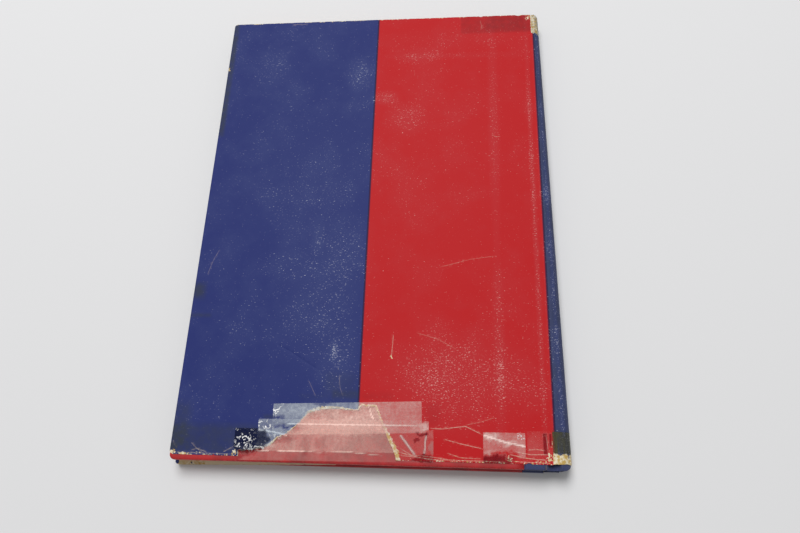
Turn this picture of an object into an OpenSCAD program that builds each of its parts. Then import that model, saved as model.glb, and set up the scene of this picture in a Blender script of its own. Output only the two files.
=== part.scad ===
// A large, thin hardback book in its torn and taped dust jacket, lying closed with its back cover up.
// It is quarter-bound: cloth over the spine and the joints, paper on the sides, and a hollow, rounded back.
// +X points to the spine, +Y to the head and +Z up. The origin is under the middle of the closed book.

/* [Boards] */
// Height of the boards, from tail to head
board_h = 282; // [220:0.5:340]
// Width of a board, from its fore-edge to the joint
board_w = 194; // [160:0.5:240]
// Thickness of a board
board_t = 2.4; // [1.8:0.1:3.2]
// Radius to which the boards' corners are worn
corner_r = 2.5; // [1:0.25:5]
// How far the front cover has slipped past the back cover at the tail
front_slip = 0.9; // [0:0.1:2]

/* [Covering] */
// Thickness of the quarter cloth
cloth_t = 0.4; // [0.3:0.05:0.6]
// How far the cloth runs on to each board from the joint
cloth_lap = 11; // [6:0.5:40]
// Thickness of the paper on the sides, no more than the cloth's
side_t = 0.2; // [0.1:0.05:0.3]
// Width of the covering that is turned in over the inside of a board
turn_in = 14; // [8:1:20]

/* [Pages] */
// Thickness of all the pages together
pages_t = 4.6; // [3:0.1:20]
// How far the boards stand past the pages at the head, tail and fore-edge
square_w = 3; // [2:0.25:5]
// Depth of the hollow fore-edge, and height of the round on the pages' back
pages_round = 1; // [0.4:0.1:1.4]
// How far the flat of the pages runs past the joint's middle, under the shoulder
shoulder_w = 3.2; // [2:0.1:3.4]
// Thickness of an endpaper leaf
endpaper_t = 0.15; // [0.1:0.05:0.25]
// Margin of board that shows round a pastedown
paste_margin = 2.5; // [1:0.25:5]
// Air between the inside of a cover and the endpaper that faces it
cover_air = 0.15; // [0.1:0.05:0.4]

/* [Back of the pages] */
// Thickness of the open-weave lining and of its wings
mull_t = 0.25; // [0.15:0.05:0.3]
// Width of a lining wing glued on to a board
mull_lap = 25; // [15:1:35]
// How far the lining stops short of the pages at the head and tail
mull_short = 12; // [5:1:25]
// Radius of the bead of a headband
band_r = 0.8; // [0.5:0.1:1]
// Thickness of a headband's tab
band_t = 0.25; // [0.15:0.05:0.4]
// Height of a headband's tab on the back of the pages
band_h = 10; // [6:0.5:14]

/* [Spine] */
// How far the cloth on the spine bulges past its shoulders
spine_round = 4.4; // [3.5:0.1:5]
// Thickness of the card that stiffens the spine
stiffener_t = 0.7; // [0.4:0.05:0.8]
// Air between the cloth of the spine and the jacket round it
spine_air = 0.1; // [0.05:0.05:0.3]
// Radius to which the spine's corners are rounded at the head and tail
spine_corner_r = 3; // [1:0.25:4]

/* [Jacket] */
// Thickness of the jacket's paper
jacket_t = 0.2; // [0.15:0.05:0.3]
// How far the jacket stops short of the case at the tail
jacket_short = 2.5; // [0:0.25:5]
// Width of a flap folded round the fore-edge
flap_w = 88; // [50:1:110]
// Radius of the jacket's fold at the corners of the fore-edge
fold_r = 0.8; // [0.5:0.1:1.2]
// Air between the fore-edge of a cover and the jacket folded round it
fold_air = 0.1; // [0.05:0.05:0.5]
// How far the front of the jacket has dropped past the front cover at its fore-edge
front_drop = 1.5; // [0:0.25:3]

/* [Repair tape] */
// Thickness of a layer of tape
tape_t = 0.06; // [0.04:0.01:0.1]
// Upper strip: where it starts from the fore-edge
upper_x = 54; // [45:0.5:60]
// Upper strip: its length
upper_l = 78.5; // [70:0.5:90]
// Upper strip: its lower edge, above the jacket's tail
upper_y = 11; // [8:0.5:14]
// Upper strip: how far it leans
upper_turn = 2; // [0:0.5:3]
// Middle strip: where it starts from the fore-edge
middle_x = 46.5; // [35:0.5:50]
// Middle strip: its length
middle_l = 89.5; // [85:0.5:100]
// Middle strip: its lower edge, above the jacket's tail
middle_y = 3; // [1:0.5:5]
// Middle strip: how far it leans
middle_turn = 0.5; // [0:0.25:2]
// Lower strip: where it starts from the fore-edge
lower_x = 34.5; // [25:0.5:38]
// Lower strip: its length
lower_l = 104; // [95:0.5:115]
// Lower strip: its lower edge, above the jacket's tail, down on the case
lower_y = -2; // [-2.25:0.25:1]
// Lower strip: how far it leans
lower_turn = 0.75; // [0:0.25:1.5]
// Width of the upper, middle and lower strips
strip_w = 16; // [12:0.5:19]
// Short piece: its length, where there is room beside the lower strip
short_l = 21; // [15:0.5:22]
// Short piece: how far it stops short of the tape round the tail of the spine
short_gap = 0.9; // [0.5:0.1:5]
// Short piece: its height above the jacket's tail
short_h = 15; // [10:0.5:19]
// How far the tapes round the ends of the spine run on to the back cover
spine_tape_l = 12.5; // [8:0.5:13]
// Height of the tapes round the ends of the spine
spine_tape_h = 15; // [10:0.5:19]
// How far above the table the tapes round the spine stop
spine_tape_z = 3; // [2:0.25:5]

/* [Hidden] */
$fn = 96;

// Heights of the layers of a cover, from the outside of the jacket inwards
cloth_z0 = jacket_t;
board_z0 = cloth_z0 + cloth_t;
board_z1 = board_z0 + board_t;
paste_z0 = board_z1 + cloth_t;
paste_z1 = paste_z0 + endpaper_t;
flap_z1 = paste_z1 + jacket_t;
leaf_z0 = flap_z1 + cover_air;
pages_z0 = leaf_z0 + endpaper_t;
book_t = 2 * pages_z0 + pages_t;

// Places across the book, from the outside of the jacket's fold at the fore-edge
board_x0 = jacket_t + fold_air + side_t;
board_x1 = board_x0 + board_w;
cloth_x0 = board_x1 - cloth_lap;
joint_r = paste_z0; // the joint is as deep as the covered board, so that the cloth lands on the pastedown
hinge_x = board_x1 + joint_r;
pages_x0 = board_x0 + square_w;
pages_x1 = hinge_x + shoulder_w;

// The spine's cross-section: a round between two shoulders, drawn from the outside of the jacket inwards
spine_in = jacket_t + spine_air; // the cloth's depth under the outside of the jacket
shoulder_x = hinge_x + sqrt(pow(joint_r - cloth_t, 2) - pow(spine_in, 2));
half_chord = book_t / 2 - spine_in;
spine_r = (pow(half_chord, 2) + pow(spine_round, 2)) / (2 * spine_round) + spine_in;
spine_x = shoulder_x + spine_round - (spine_r - spine_in);
stiffener_in = spine_in + cloth_t;
lining_in = stiffener_in + stiffener_t;
hollow_in = lining_in + cloth_t;
stiffener_x0 = hinge_x + joint_r + 0.5;

// The round on the back of the pages
round_h = pages_t / 2;
round_r = (pow(round_h, 2) + pow(pages_round, 2)) / (2 * pages_round);
round_x = pages_x1 + pages_round - round_r;

// Places up the book, from the middle of the boards
case_y = board_h / 2 + side_t;
cloth_y = board_h / 2 + cloth_t;
page_y = board_h / 2 - square_w;
jacket_y0 = -case_y + jacket_short;
jacket_y1 = case_y;
front_y0 = -case_y - front_drop;

// The middle of the whole closed book
low_y = min(front_y0 - front_slip, -cloth_y - front_slip);
book_x = spine_x + spine_r + tape_t;
mid_x = book_x / 2;
mid_y = (cloth_y + low_y) / 2;

// The jacket's torn tail on the back panel: from the fore-edge and up from the jacket's tail
tear_outline = [[37, -1], [38.5, 2.8], [49.5, 4.2], [54, 5.8], [57.5, 10], [62, 11.6], [68.5, 17.7],
                [73, 22.6], [77.5, 24.1], [87.5, 25.2], [99.3, 24.4], [100.8, 27], [107.5, 26.4],
                [109.7, 22.6], [113.2, 14.5], [115.4, 9.5], [118, 5], [120, -1]];

// Ends of the short piece of tape, from the fore-edge
short_x1 = hinge_x - spine_tape_l - short_gap;
short_x0 = max(short_x1 - short_l, lower_x + lower_l + short_gap);

over = 1; // how far a cut runs past what it cuts

// Each cover is drawn with its outside on z = 0 and its inside up, as the front cover lies.
module front_place() { translate([-mid_x, -mid_y - front_slip, 0]) children(); }
module back_place() { translate([-mid_x, -mid_y, book_t]) mirror([0, 0, 1]) children(); }
module middle_place() { translate([-mid_x, -mid_y, 0]) children(); }

// Draws a cross-section, x across the book and y up from the table, along the book's height.
module along_height(y0, y1) {
    translate([0, y1, 0]) rotate([90, 0, 0]) linear_extrude(y1 - y0) children();
}

// A board's plan, grown by what is wrapped round its edges, from its worn fore-edge corners to x1
module board_plan(grow, x1) {
    r = corner_r + grow;
    x0 = board_x0 - grow;
    y = board_h / 2 + grow;
    translate([x0 + r, -y]) square([x1 - x0 - r, 2 * y]);
    translate([x0, r - y]) square([r, 2 * (y - r)]);
    for (side = [-1, 1]) translate([x0 + r, side * (y - r)]) circle(r);
}

module board() {
    translate([0, 0, board_z0]) linear_extrude(board_t) board_plan(0, board_x1);
}

// A sheet glued round three edges of a board and turned in over its inside
module side_paper() {
    difference() {
        translate([0, 0, board_z0 - side_t]) linear_extrude(board_t + 2 * side_t)
            board_plan(side_t, cloth_x0);
        translate([0, 0, board_z0]) linear_extrude(board_t) board_plan(0, cloth_x0 + over);
        translate([board_x0 + turn_in, turn_in - board_h / 2, board_z0])
            cube([board_w, board_h - 2 * turn_in, board_t + side_t + over]);
    }
}

// The cloth's fold in a joint, as a ring round the hinge line, on one side of it
module joint_fold(side, depth) {
    intersection() {
        translate([hinge_x, 0]) difference() {
            circle(joint_r);
            circle(joint_r - cloth_t);
        }
        translate([side < 0 ? hinge_x - 2 * joint_r : hinge_x, depth]) square(2 * joint_r);
    }
}

// The cloth on a board: over its outside, turned in at the head and tail, and down into the joint
module quarter_cloth() {
    difference() {
        translate([cloth_x0, -cloth_y, cloth_z0]) cube([cloth_lap, 2 * cloth_y, board_t + 2 * cloth_t]);
        translate([cloth_x0 - over, -board_h / 2, board_z0]) cube([cloth_lap + 2 * over, board_h, board_t]);
        translate([cloth_x0 - over, turn_in - board_h / 2, board_z0])
            cube([cloth_lap + 2 * over, board_h - 2 * turn_in, board_t + cloth_t + over]);
    }
    along_height(-cloth_y, cloth_y) {
        joint_fold(-1, cloth_z0);
        translate([board_x1 - cloth_t, cloth_z0]) square([2 * cloth_t, cloth_t]);
    }
}

module mull_wing() {
    wing_y = board_h / 2 - turn_in - mull_short / 2;
    translate([board_x1 - mull_lap, -wing_y, board_z1]) cube([mull_lap, 2 * wing_y, mull_t]);
}

module pastedown() {
    x0 = board_x0 + paste_margin;
    y = board_h / 2 - paste_margin;
    translate([x0, -y, paste_z0]) cube([hinge_x - x0, 2 * y, endpaper_t]);
}

module flyleaf() {
    translate([pages_x0, -page_y, leaf_z0]) cube([pages_x1 - pages_x0, 2 * page_y, endpaper_t]);
}

// A panel of the jacket with its fold and flap, as a solid shape from the fold to x1
module fold_section(inset, x1) {
    r = fold_r - inset;
    z1 = flap_z1 - inset;
    translate([inset + r, inset]) square([x1 - inset - r, z1 - inset]);
    translate([inset, inset + r]) square([r, z1 - inset - 2 * r]);
    for (z = [inset + r, z1 - r]) translate([inset + r, z]) circle(r);
}

// What wear takes off the folded corners of a jacket panel
module worn_corner(x, y, side) {
    translate([x, y, -over]) linear_extrude(flap_z1 + 2 * over) difference() {
        translate([-over, side > 0 ? 0 : -corner_r - over]) square(corner_r + over);
        translate([corner_r, 0]) circle(corner_r);
        translate([corner_r, -2 * corner_r]) square(4 * corner_r);
    }
}

module jacket_panel(y0, y1) {
    difference() {
        along_height(y0, y1) difference() {
            fold_section(0, hinge_x);
            fold_section(jacket_t, hinge_x + over);
            translate([flap_w, jacket_t]) square([hinge_x, flap_z1]);
        }
        worn_corner(0, y0 + corner_r, -1);
        worn_corner(0, y1 - corner_r, 1);
    }
}

// The spine's shape inside the jacket, inset from its outside: flat beside the hinges and round between them
module spine_outline(inset) {
    r = spine_r - inset;
    flat = sqrt(pow(r, 2) - pow(book_t / 2 - inset, 2));
    intersection() {
        union() {
            translate([spine_x, book_t / 2]) circle(r);
            translate([hinge_x, inset]) square([spine_x + flat - hinge_x, book_t - 2 * inset]);
        }
        translate([hinge_x, inset]) square([spine_x + spine_r - hinge_x + over, book_t - 2 * inset]);
    }
}

// A layer of the spine between two insets, from x0 outwards
module spine_layer(outer, inner, x0) {
    intersection() {
        difference() {
            spine_outline(outer);
            translate([-over, 0]) spine_outline(inner);
            spine_outline(inner);
        }
        translate([x0, -over]) square([book_x, book_t + 2 * over]);
    }
}

module text_block() {
    color([0.93, 0.90, 0.82]) middle_place() along_height(-page_y, page_y) difference() {
        union() {
            translate([pages_x0, pages_z0]) square([pages_x1 - pages_x0, pages_t]);
            intersection() {
                translate([round_x, book_t / 2]) circle(round_r);
                translate([pages_x1, pages_z0]) square([pages_round, pages_t]);
            }
        }
        translate([pages_x0 + pages_round - round_r, book_t / 2]) circle(round_r);
    }
}

// A strip of cloth or paper that follows the round on the back of the pages
module round_strip(r0, r1) {
    intersection() {
        translate([round_x, book_t / 2]) difference() {
            circle(r1);
            circle(r0);
        }
        translate([round_x, pages_z0]) square([round_r + round_h, pages_t]);
        translate([pages_x1, pages_z0]) square([round_r + round_h, pages_t]);
    }
}

module spine_lining() {
    color([0.86, 0.84, 0.78]) middle_place()
        along_height(mull_short - page_y, page_y - mull_short) round_strip(round_r, round_r + mull_t);
}

// A headband at the head of the pages: a bead over their ends and a tab glued down their back
module band() {
    tab_r = round_r + mull_t;
    bead_x = tab_r + band_t / 2;
    sweep = 2 * asin(round_h / bead_x);
    along_height(page_y - band_h, page_y + band_r) round_strip(tab_r, tab_r + band_t);
    translate([round_x, page_y + band_r, book_t / 2]) rotate([90, sweep / 2, 0])
        rotate_extrude(angle = sweep) translate([bead_x, 0]) circle(band_r);
}

module headband() { color([0.80, 0.78, 0.72]) middle_place() band(); }
module tailband() { color([0.80, 0.78, 0.72]) middle_place() mirror([0, 1, 0]) band(); }

// What is rounded off one corner of a layer of the spine, which ends at y, at its tail or head (side -1 or 1)
module spine_corner(inset, y, r, side) {
    translate([spine_x + spine_r - inset - r, side * (y - r), -over]) linear_extrude(book_t + 2 * over)
        difference() {
            translate([0, side > 0 ? 0 : -r - over]) square(r + over);
            circle(r);
        }
}

module stiffener_card() {
    difference() {
        along_height(-board_h / 2, board_h / 2) spine_layer(stiffener_in, lining_in, stiffener_x0);
        for (side = [-1, 1]) spine_corner(stiffener_in, board_h / 2, spine_corner_r - cloth_t, side);
    }
}

module spine_stiffener() { color([0.62, 0.52, 0.38]) middle_place() stiffener_card(); }

// The cloth on the spine: up out of both joints, round the stiffener and turned in over its ends
module spine_cloth() {
    color([0.16, 0.20, 0.38]) middle_place() difference() {
        union() {
            along_height(-cloth_y, cloth_y) {
                spine_layer(spine_in, stiffener_in, shoulder_x);
                joint_fold(1, spine_in);
                translate([0, book_t]) mirror([0, 1]) joint_fold(1, spine_in);
            }
            for (side = [0, 1]) mirror([0, side, 0]) {
                along_height(board_h / 2 - turn_in, cloth_y) spine_layer(lining_in, hollow_in, stiffener_x0);
                along_height(board_h / 2 - spine_corner_r, cloth_y)
                    spine_layer(spine_in, hollow_in, stiffener_x0);
            }
        }
        stiffener_card();
        for (side = [-1, 1]) spine_corner(spine_in, cloth_y, spine_corner_r, side);
    }
}

module jacket_spine() {
    color([0.24, 0.28, 0.43]) middle_place() difference() {
        along_height(jacket_y0, jacket_y1) spine_layer(0, jacket_t, hinge_x);
        spine_corner(0, jacket_y1, spine_corner_r, 1);
    }
}

// A tape round one end of the spine, from the upper joint to low on the spine's round
module spine_tape(y0) {
    color([0.80, 0.80, 0.74, 0.5]) middle_place() along_height(y0, y0 + spine_tape_h) difference() {
        intersection() {
            union() {
                translate([spine_x, book_t / 2]) circle(spine_r + tape_t);
                translate([hinge_x, book_t / 2]) square([spine_x - hinge_x, book_t / 2 + tape_t]);
            }
            translate([hinge_x, spine_tape_z]) square([book_x, book_t - spine_tape_z + tape_t]);
        }
        translate([-over, 0]) spine_outline(0);
        spine_outline(0);
    }
}

module tail_tape_spine() { spine_tape(jacket_y0 + 1); }
module head_tape_spine() {
    difference() {
        spine_tape(jacket_y1 - spine_tape_h);
        middle_place() spine_corner(-tape_t, jacket_y1, spine_corner_r + tape_t, 1);
    }
}

module back_board() { color([0.55, 0.50, 0.42]) back_place() board(); }
module back_side_paper() { color([0.70, 0.08, 0.10]) back_place() side_paper(); }
module back_quarter_cloth() { color([0.16, 0.20, 0.38]) back_place() quarter_cloth(); }
module back_mull() { color([0.86, 0.84, 0.78]) back_place() mull_wing(); }
module back_pastedown() { color([0.94, 0.92, 0.86]) back_place() pastedown(); }
module back_flyleaf() { color([0.94, 0.92, 0.86]) back_place() flyleaf(); }

module jacket_back() {
    color([0.77, 0.18, 0.20]) back_place() difference() {
        jacket_panel(jacket_y0, jacket_y1);
        translate([0, jacket_y0, -over]) linear_extrude(over + jacket_t + cloth_t / 2) polygon(tear_outline);
    }
}

// A strip of tape on the back panel: from x, with its lower edge y above the jacket's tail, in a given layer
module back_tape(x, y, l, w, turn, layer) {
    color([0.85, 0.82, 0.80, 0.5]) back_place()
        translate([x, jacket_y0 + y, -(layer + 1) * tape_t]) rotate([0, 0, turn]) cube([l, w, tape_t]);
}

module tape_upper() { back_tape(upper_x, upper_y, upper_l, strip_w, upper_turn, 0); }
module tape_middle() { back_tape(middle_x, middle_y, middle_l, strip_w, middle_turn, 1); }
module tape_lower() { back_tape(lower_x, lower_y, lower_l, strip_w, lower_turn, 2); }
module tape_short() { back_tape(short_x0, 0, short_x1 - short_x0, short_h, 0, 0); }
module tail_tape_back() { back_tape(hinge_x - spine_tape_l, 1, spine_tape_l, spine_tape_h, 0, 0); }
module head_tape_back() {
    back_tape(hinge_x - spine_tape_l, jacket_y1 - spine_tape_h - jacket_y0, spine_tape_l, spine_tape_h, 0, 0);
}

module front_board() { color([0.55, 0.50, 0.42]) front_place() board(); }
module front_side_paper() { color([0.70, 0.08, 0.10]) front_place() side_paper(); }
module front_quarter_cloth() { color([0.16, 0.20, 0.38]) front_place() quarter_cloth(); }
module front_mull() { color([0.86, 0.84, 0.78]) front_place() mull_wing(); }
module front_pastedown() { color([0.94, 0.92, 0.86]) front_place() pastedown(); }
module front_flyleaf() { color([0.94, 0.92, 0.86]) middle_place() flyleaf(); }

// The front of the jacket hangs lower at the fore-edge than at the joint.
module jacket_front() {
    color([0.77, 0.18, 0.20]) front_place() difference() {
        jacket_panel(front_y0, jacket_y1);
        translate([0, 0, -over]) linear_extrude(flap_z1 + 2 * over)
            polygon([[0, front_y0], [hinge_x + over, jacket_y0], [hinge_x + over, front_y0 - over],
                     [0, front_y0 - over]]);
    }
}

text_block();
back_flyleaf();
front_flyleaf();
spine_lining();
headband();
tailband();
spine_stiffener();
spine_cloth();
jacket_spine();
tail_tape_spine();
head_tape_spine();
back_board();
back_side_paper();
back_quarter_cloth();
back_mull();
back_pastedown();
jacket_back();
tape_upper();
tape_middle();
tape_lower();
tape_short();
tail_tape_back();
head_tape_back();
front_board();
front_side_paper();
front_quarter_cloth();
front_mull();
front_pastedown();
jacket_front();
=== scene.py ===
import math

import bpy
import numpy as np
from mathutils import Matrix, Vector, noise
from mathutils.geometry import delaunay_2d_cdt


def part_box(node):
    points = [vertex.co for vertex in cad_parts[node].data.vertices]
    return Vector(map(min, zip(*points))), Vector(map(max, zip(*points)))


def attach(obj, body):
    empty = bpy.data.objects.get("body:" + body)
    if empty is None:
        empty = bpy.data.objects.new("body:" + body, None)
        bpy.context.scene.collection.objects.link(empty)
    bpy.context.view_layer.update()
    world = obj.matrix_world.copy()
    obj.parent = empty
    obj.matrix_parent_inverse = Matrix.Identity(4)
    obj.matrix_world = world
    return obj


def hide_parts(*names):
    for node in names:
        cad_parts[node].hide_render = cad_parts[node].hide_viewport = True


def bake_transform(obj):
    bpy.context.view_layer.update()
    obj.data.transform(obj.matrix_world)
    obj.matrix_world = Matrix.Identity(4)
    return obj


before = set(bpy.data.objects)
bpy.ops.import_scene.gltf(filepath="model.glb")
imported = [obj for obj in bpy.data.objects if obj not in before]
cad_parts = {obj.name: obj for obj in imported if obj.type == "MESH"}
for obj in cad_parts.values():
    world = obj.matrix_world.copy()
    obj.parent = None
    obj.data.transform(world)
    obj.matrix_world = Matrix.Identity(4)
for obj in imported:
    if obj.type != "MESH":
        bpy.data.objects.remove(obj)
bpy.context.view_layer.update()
mm = 0.001
scene = bpy.context.scene

# Sizes below are millimetres in book space: x from the jacket's fore-edge fold to the spine,
# y from the jacket's tail to its head, z up from the table. The back cover is uppermost.
backLow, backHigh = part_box("jacket_back")
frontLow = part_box("jacket_front")[0]
book = {
    "foreX": backLow.x / mm,
    "tailY": backLow.y / mm,
    "width": (backHigh.x - backLow.x) / mm,  # as far as the hinge line
    "height": (backHigh.y - backLow.y) / mm,
    "top": backHigh.z / mm,
    "spineOut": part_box("jacket_spine")[1].x / mm - backLow.x / mm,
    "lean": 0.57,  # the spine bulges more at the tail than at the head
}


def toMetres(points):
    # Book points to rows in the frame of the CAD, the bulging spine leaning a little
    p = np.array(points, float).reshape(-1, 3)
    past = np.maximum(p[:, 0] - book["width"], 0)
    p[:, 0] += past * book["lean"] * (0.5 - p[:, 1] / book["height"])
    return (p + (book["foreX"], book["tailY"], 0)) * mm


def toBook(corner):
    return np.array(corner) / mm - (book["foreX"], book["tailY"], 0)


def bookBox(node):
    return [toBook(corner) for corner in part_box(node)]


# Camera and studio

cameraSet = {"lens": 27.44, "at": (45.72, -151.47, 335.05), "yaw": 14.32, "tilt": 20.78, "roll": -13.36}


def makeCamera():
    data = bpy.data.cameras.new("camera")
    data.sensor_width, data.lens = 36, cameraSet["lens"]
    cam = bpy.data.objects.new("camera", data)
    turn = Matrix.Identity(4)
    for name, axis in (("yaw", "Z"), ("tilt", "X"), ("roll", "Z")):
        turn = turn @ Matrix.Rotation(math.radians(cameraSet[name]), 4, axis)
    cam.matrix_world = Matrix.Translation(Vector(cameraSet["at"]) * mm) @ turn
    scene.collection.objects.link(cam)
    scene.camera = cam


def linear(colour, alpha=1.0):
    parts = [int(colour[i:i + 2], 16) / 255 for i in (1, 3, 5)]
    return (*[c / 12.92 if c <= 0.04045 else ((c + 0.055) / 1.055) ** 2.4 for c in parts], alpha)


def pick(sockets, key):
    # The first socket in use that has this number or name
    used = [socket for socket in sockets if socket.enabled]
    return next((socket for i, socket in enumerate(used) if key in (i, socket.name)), None)


def add(tree, kind, inputs=None, out=0, **settings):
    # A node with its settings, values and links; returns the socket asked for, or else the node
    plain = kind.startswith(("Geometry", "Function", "Node"))
    node = tree.nodes.new(kind if plain else "ShaderNode" + kind)
    for name, value in settings.items():
        setattr(node, name, value)
    for key, value in (inputs or {}).items():
        socket = pick(node.inputs, key)
        if isinstance(value, bpy.types.NodeSocket):
            tree.links.new(value, socket)
        else:
            socket.default_value = value
    return pick(node.outputs, out) or node


colourMix = {"data_type": "RGBA"}  # settings of a Mix node that mixes colours
smooth = {"interpolation_type": "SMOOTHSTEP"}


def newMaterial(name):
    material = bpy.data.materials.new(name)
    material.use_nodes = True
    material.node_tree.nodes.clear()
    return material, material.node_tree


def finishMaterial(tree, surface, settings):
    shader = add(tree, "BsdfPrincipled", {**surface, **settings}, out="BSDF")
    add(tree, "OutputMaterial", {"Surface": shader})


def bookPoint(tree):
    # Object coordinates turned into book millimetres
    point = add(tree, "TexCoord", out="Object")
    move = {"Location": (-book["foreX"], -book["tailY"], 0), "Scale": (1000, 1000, 1000)}
    return add(tree, "Mapping", {"Vector": point, **move})


studio = {
    "floor": "#e3e3e4",
    "reach": 6.0,
    "world": 0.33,
    "mirrored": 0.25,
    "backdrop": 0.76,
    "keySize": 1.5,
    "keyAt": (-0.25, 1.08, 2.2),
    "keyPower": 48.0,
}


def makeStudio():
    world = bpy.data.worlds.new("studio")
    world.use_nodes = True
    tree = world.node_tree
    tree.nodes.clear()
    strength = studio["world"]
    for ray, value in (("Is Glossy Ray", "mirrored"), ("Is Camera Ray", "backdrop")):
        part = add(tree, "LightPath", out=ray)
        strength = add(tree, "Mix", {"Factor": part, "A": strength, "B": studio[value]})
    light = add(tree, "Background", {"Color": (1, 1, 1, 1), "Strength": strength})
    add(tree, "OutputWorld", {"Surface": light})
    scene.world = world
    data = bpy.data.lights.new("key", "AREA")
    data.shape, data.size, data.energy = "DISK", studio["keySize"], studio["keyPower"]
    lamp = bpy.data.objects.new("key", data)
    lamp.location = studio["keyAt"]
    lamp.rotation_euler = (-lamp.location).to_track_quat("-Z", "Y").to_euler()
    scene.collection.objects.link(lamp)
    mesh = bpy.data.meshes.new("floor")
    corners = [(studio["reach"] * x, studio["reach"] * y, 0) for x, y in ((-1, -1), (1, -1), (1, 1), (-1, 1))]
    mesh.from_pydata(corners, [], [(0, 1, 2, 3)])
    floor = bpy.data.objects.new("floor", mesh)
    scene.collection.objects.link(floor)
    material, tree = newMaterial("matWhiteTabletop")
    finishMaterial(tree, {"Base Color": linear(studio["floor"])}, {"Roughness": 0.9, "Specular IOR Level": 0.1})
    mesh.materials.append(material)
    scene.view_settings.view_transform = "Standard"
    scene.cycles.transparent_max_bounces = 32  # three layers of film lie over each other


makeCamera()
makeStudio()
print("camera, lamps and table made")

# Materials

inks = {
    "blue": "#28326f",
    "blueWorn": "#414b7c",
    "red": "#bb1a1e",
    "redWorn": "#b83438",
    "spineBlue": "#383e59",
    "line": "#20163a",
    "pale": "#b9bacb",
    "paleRed": "#e2a39c",
    "core": "#e6dcc0",
    "aged": "#c6a55e",
    "cracked": "#dcc6b4",
    "grime": "#363c46",
    "redGrime": "#4a2024",
}
printed = {
    "edges": (98.8, 199.3),  # where blue meets red and red meets the spine's blue
    "edgeSoftness": 0.15,
    "lineReach": (0.7, 0.35),
    "lineStrength": 0.85,
    "speckleSize": 0.55,
    "speckleStrength": 0.78,
    "speckleLevel": (0.71, 0.53),  # the noise above this shows as specks, on fresh and on worn print
    "dotScale": 0.14,
    "dotSize": 0.03,
    "dotStrength": 0.65,
    "cloudSize": 22,
    "cloudStrength": 0.35,
    "rubStrength": 0.6,
    "grainSize": 0.35,
    "grainHeight": 0.06,
}


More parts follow.
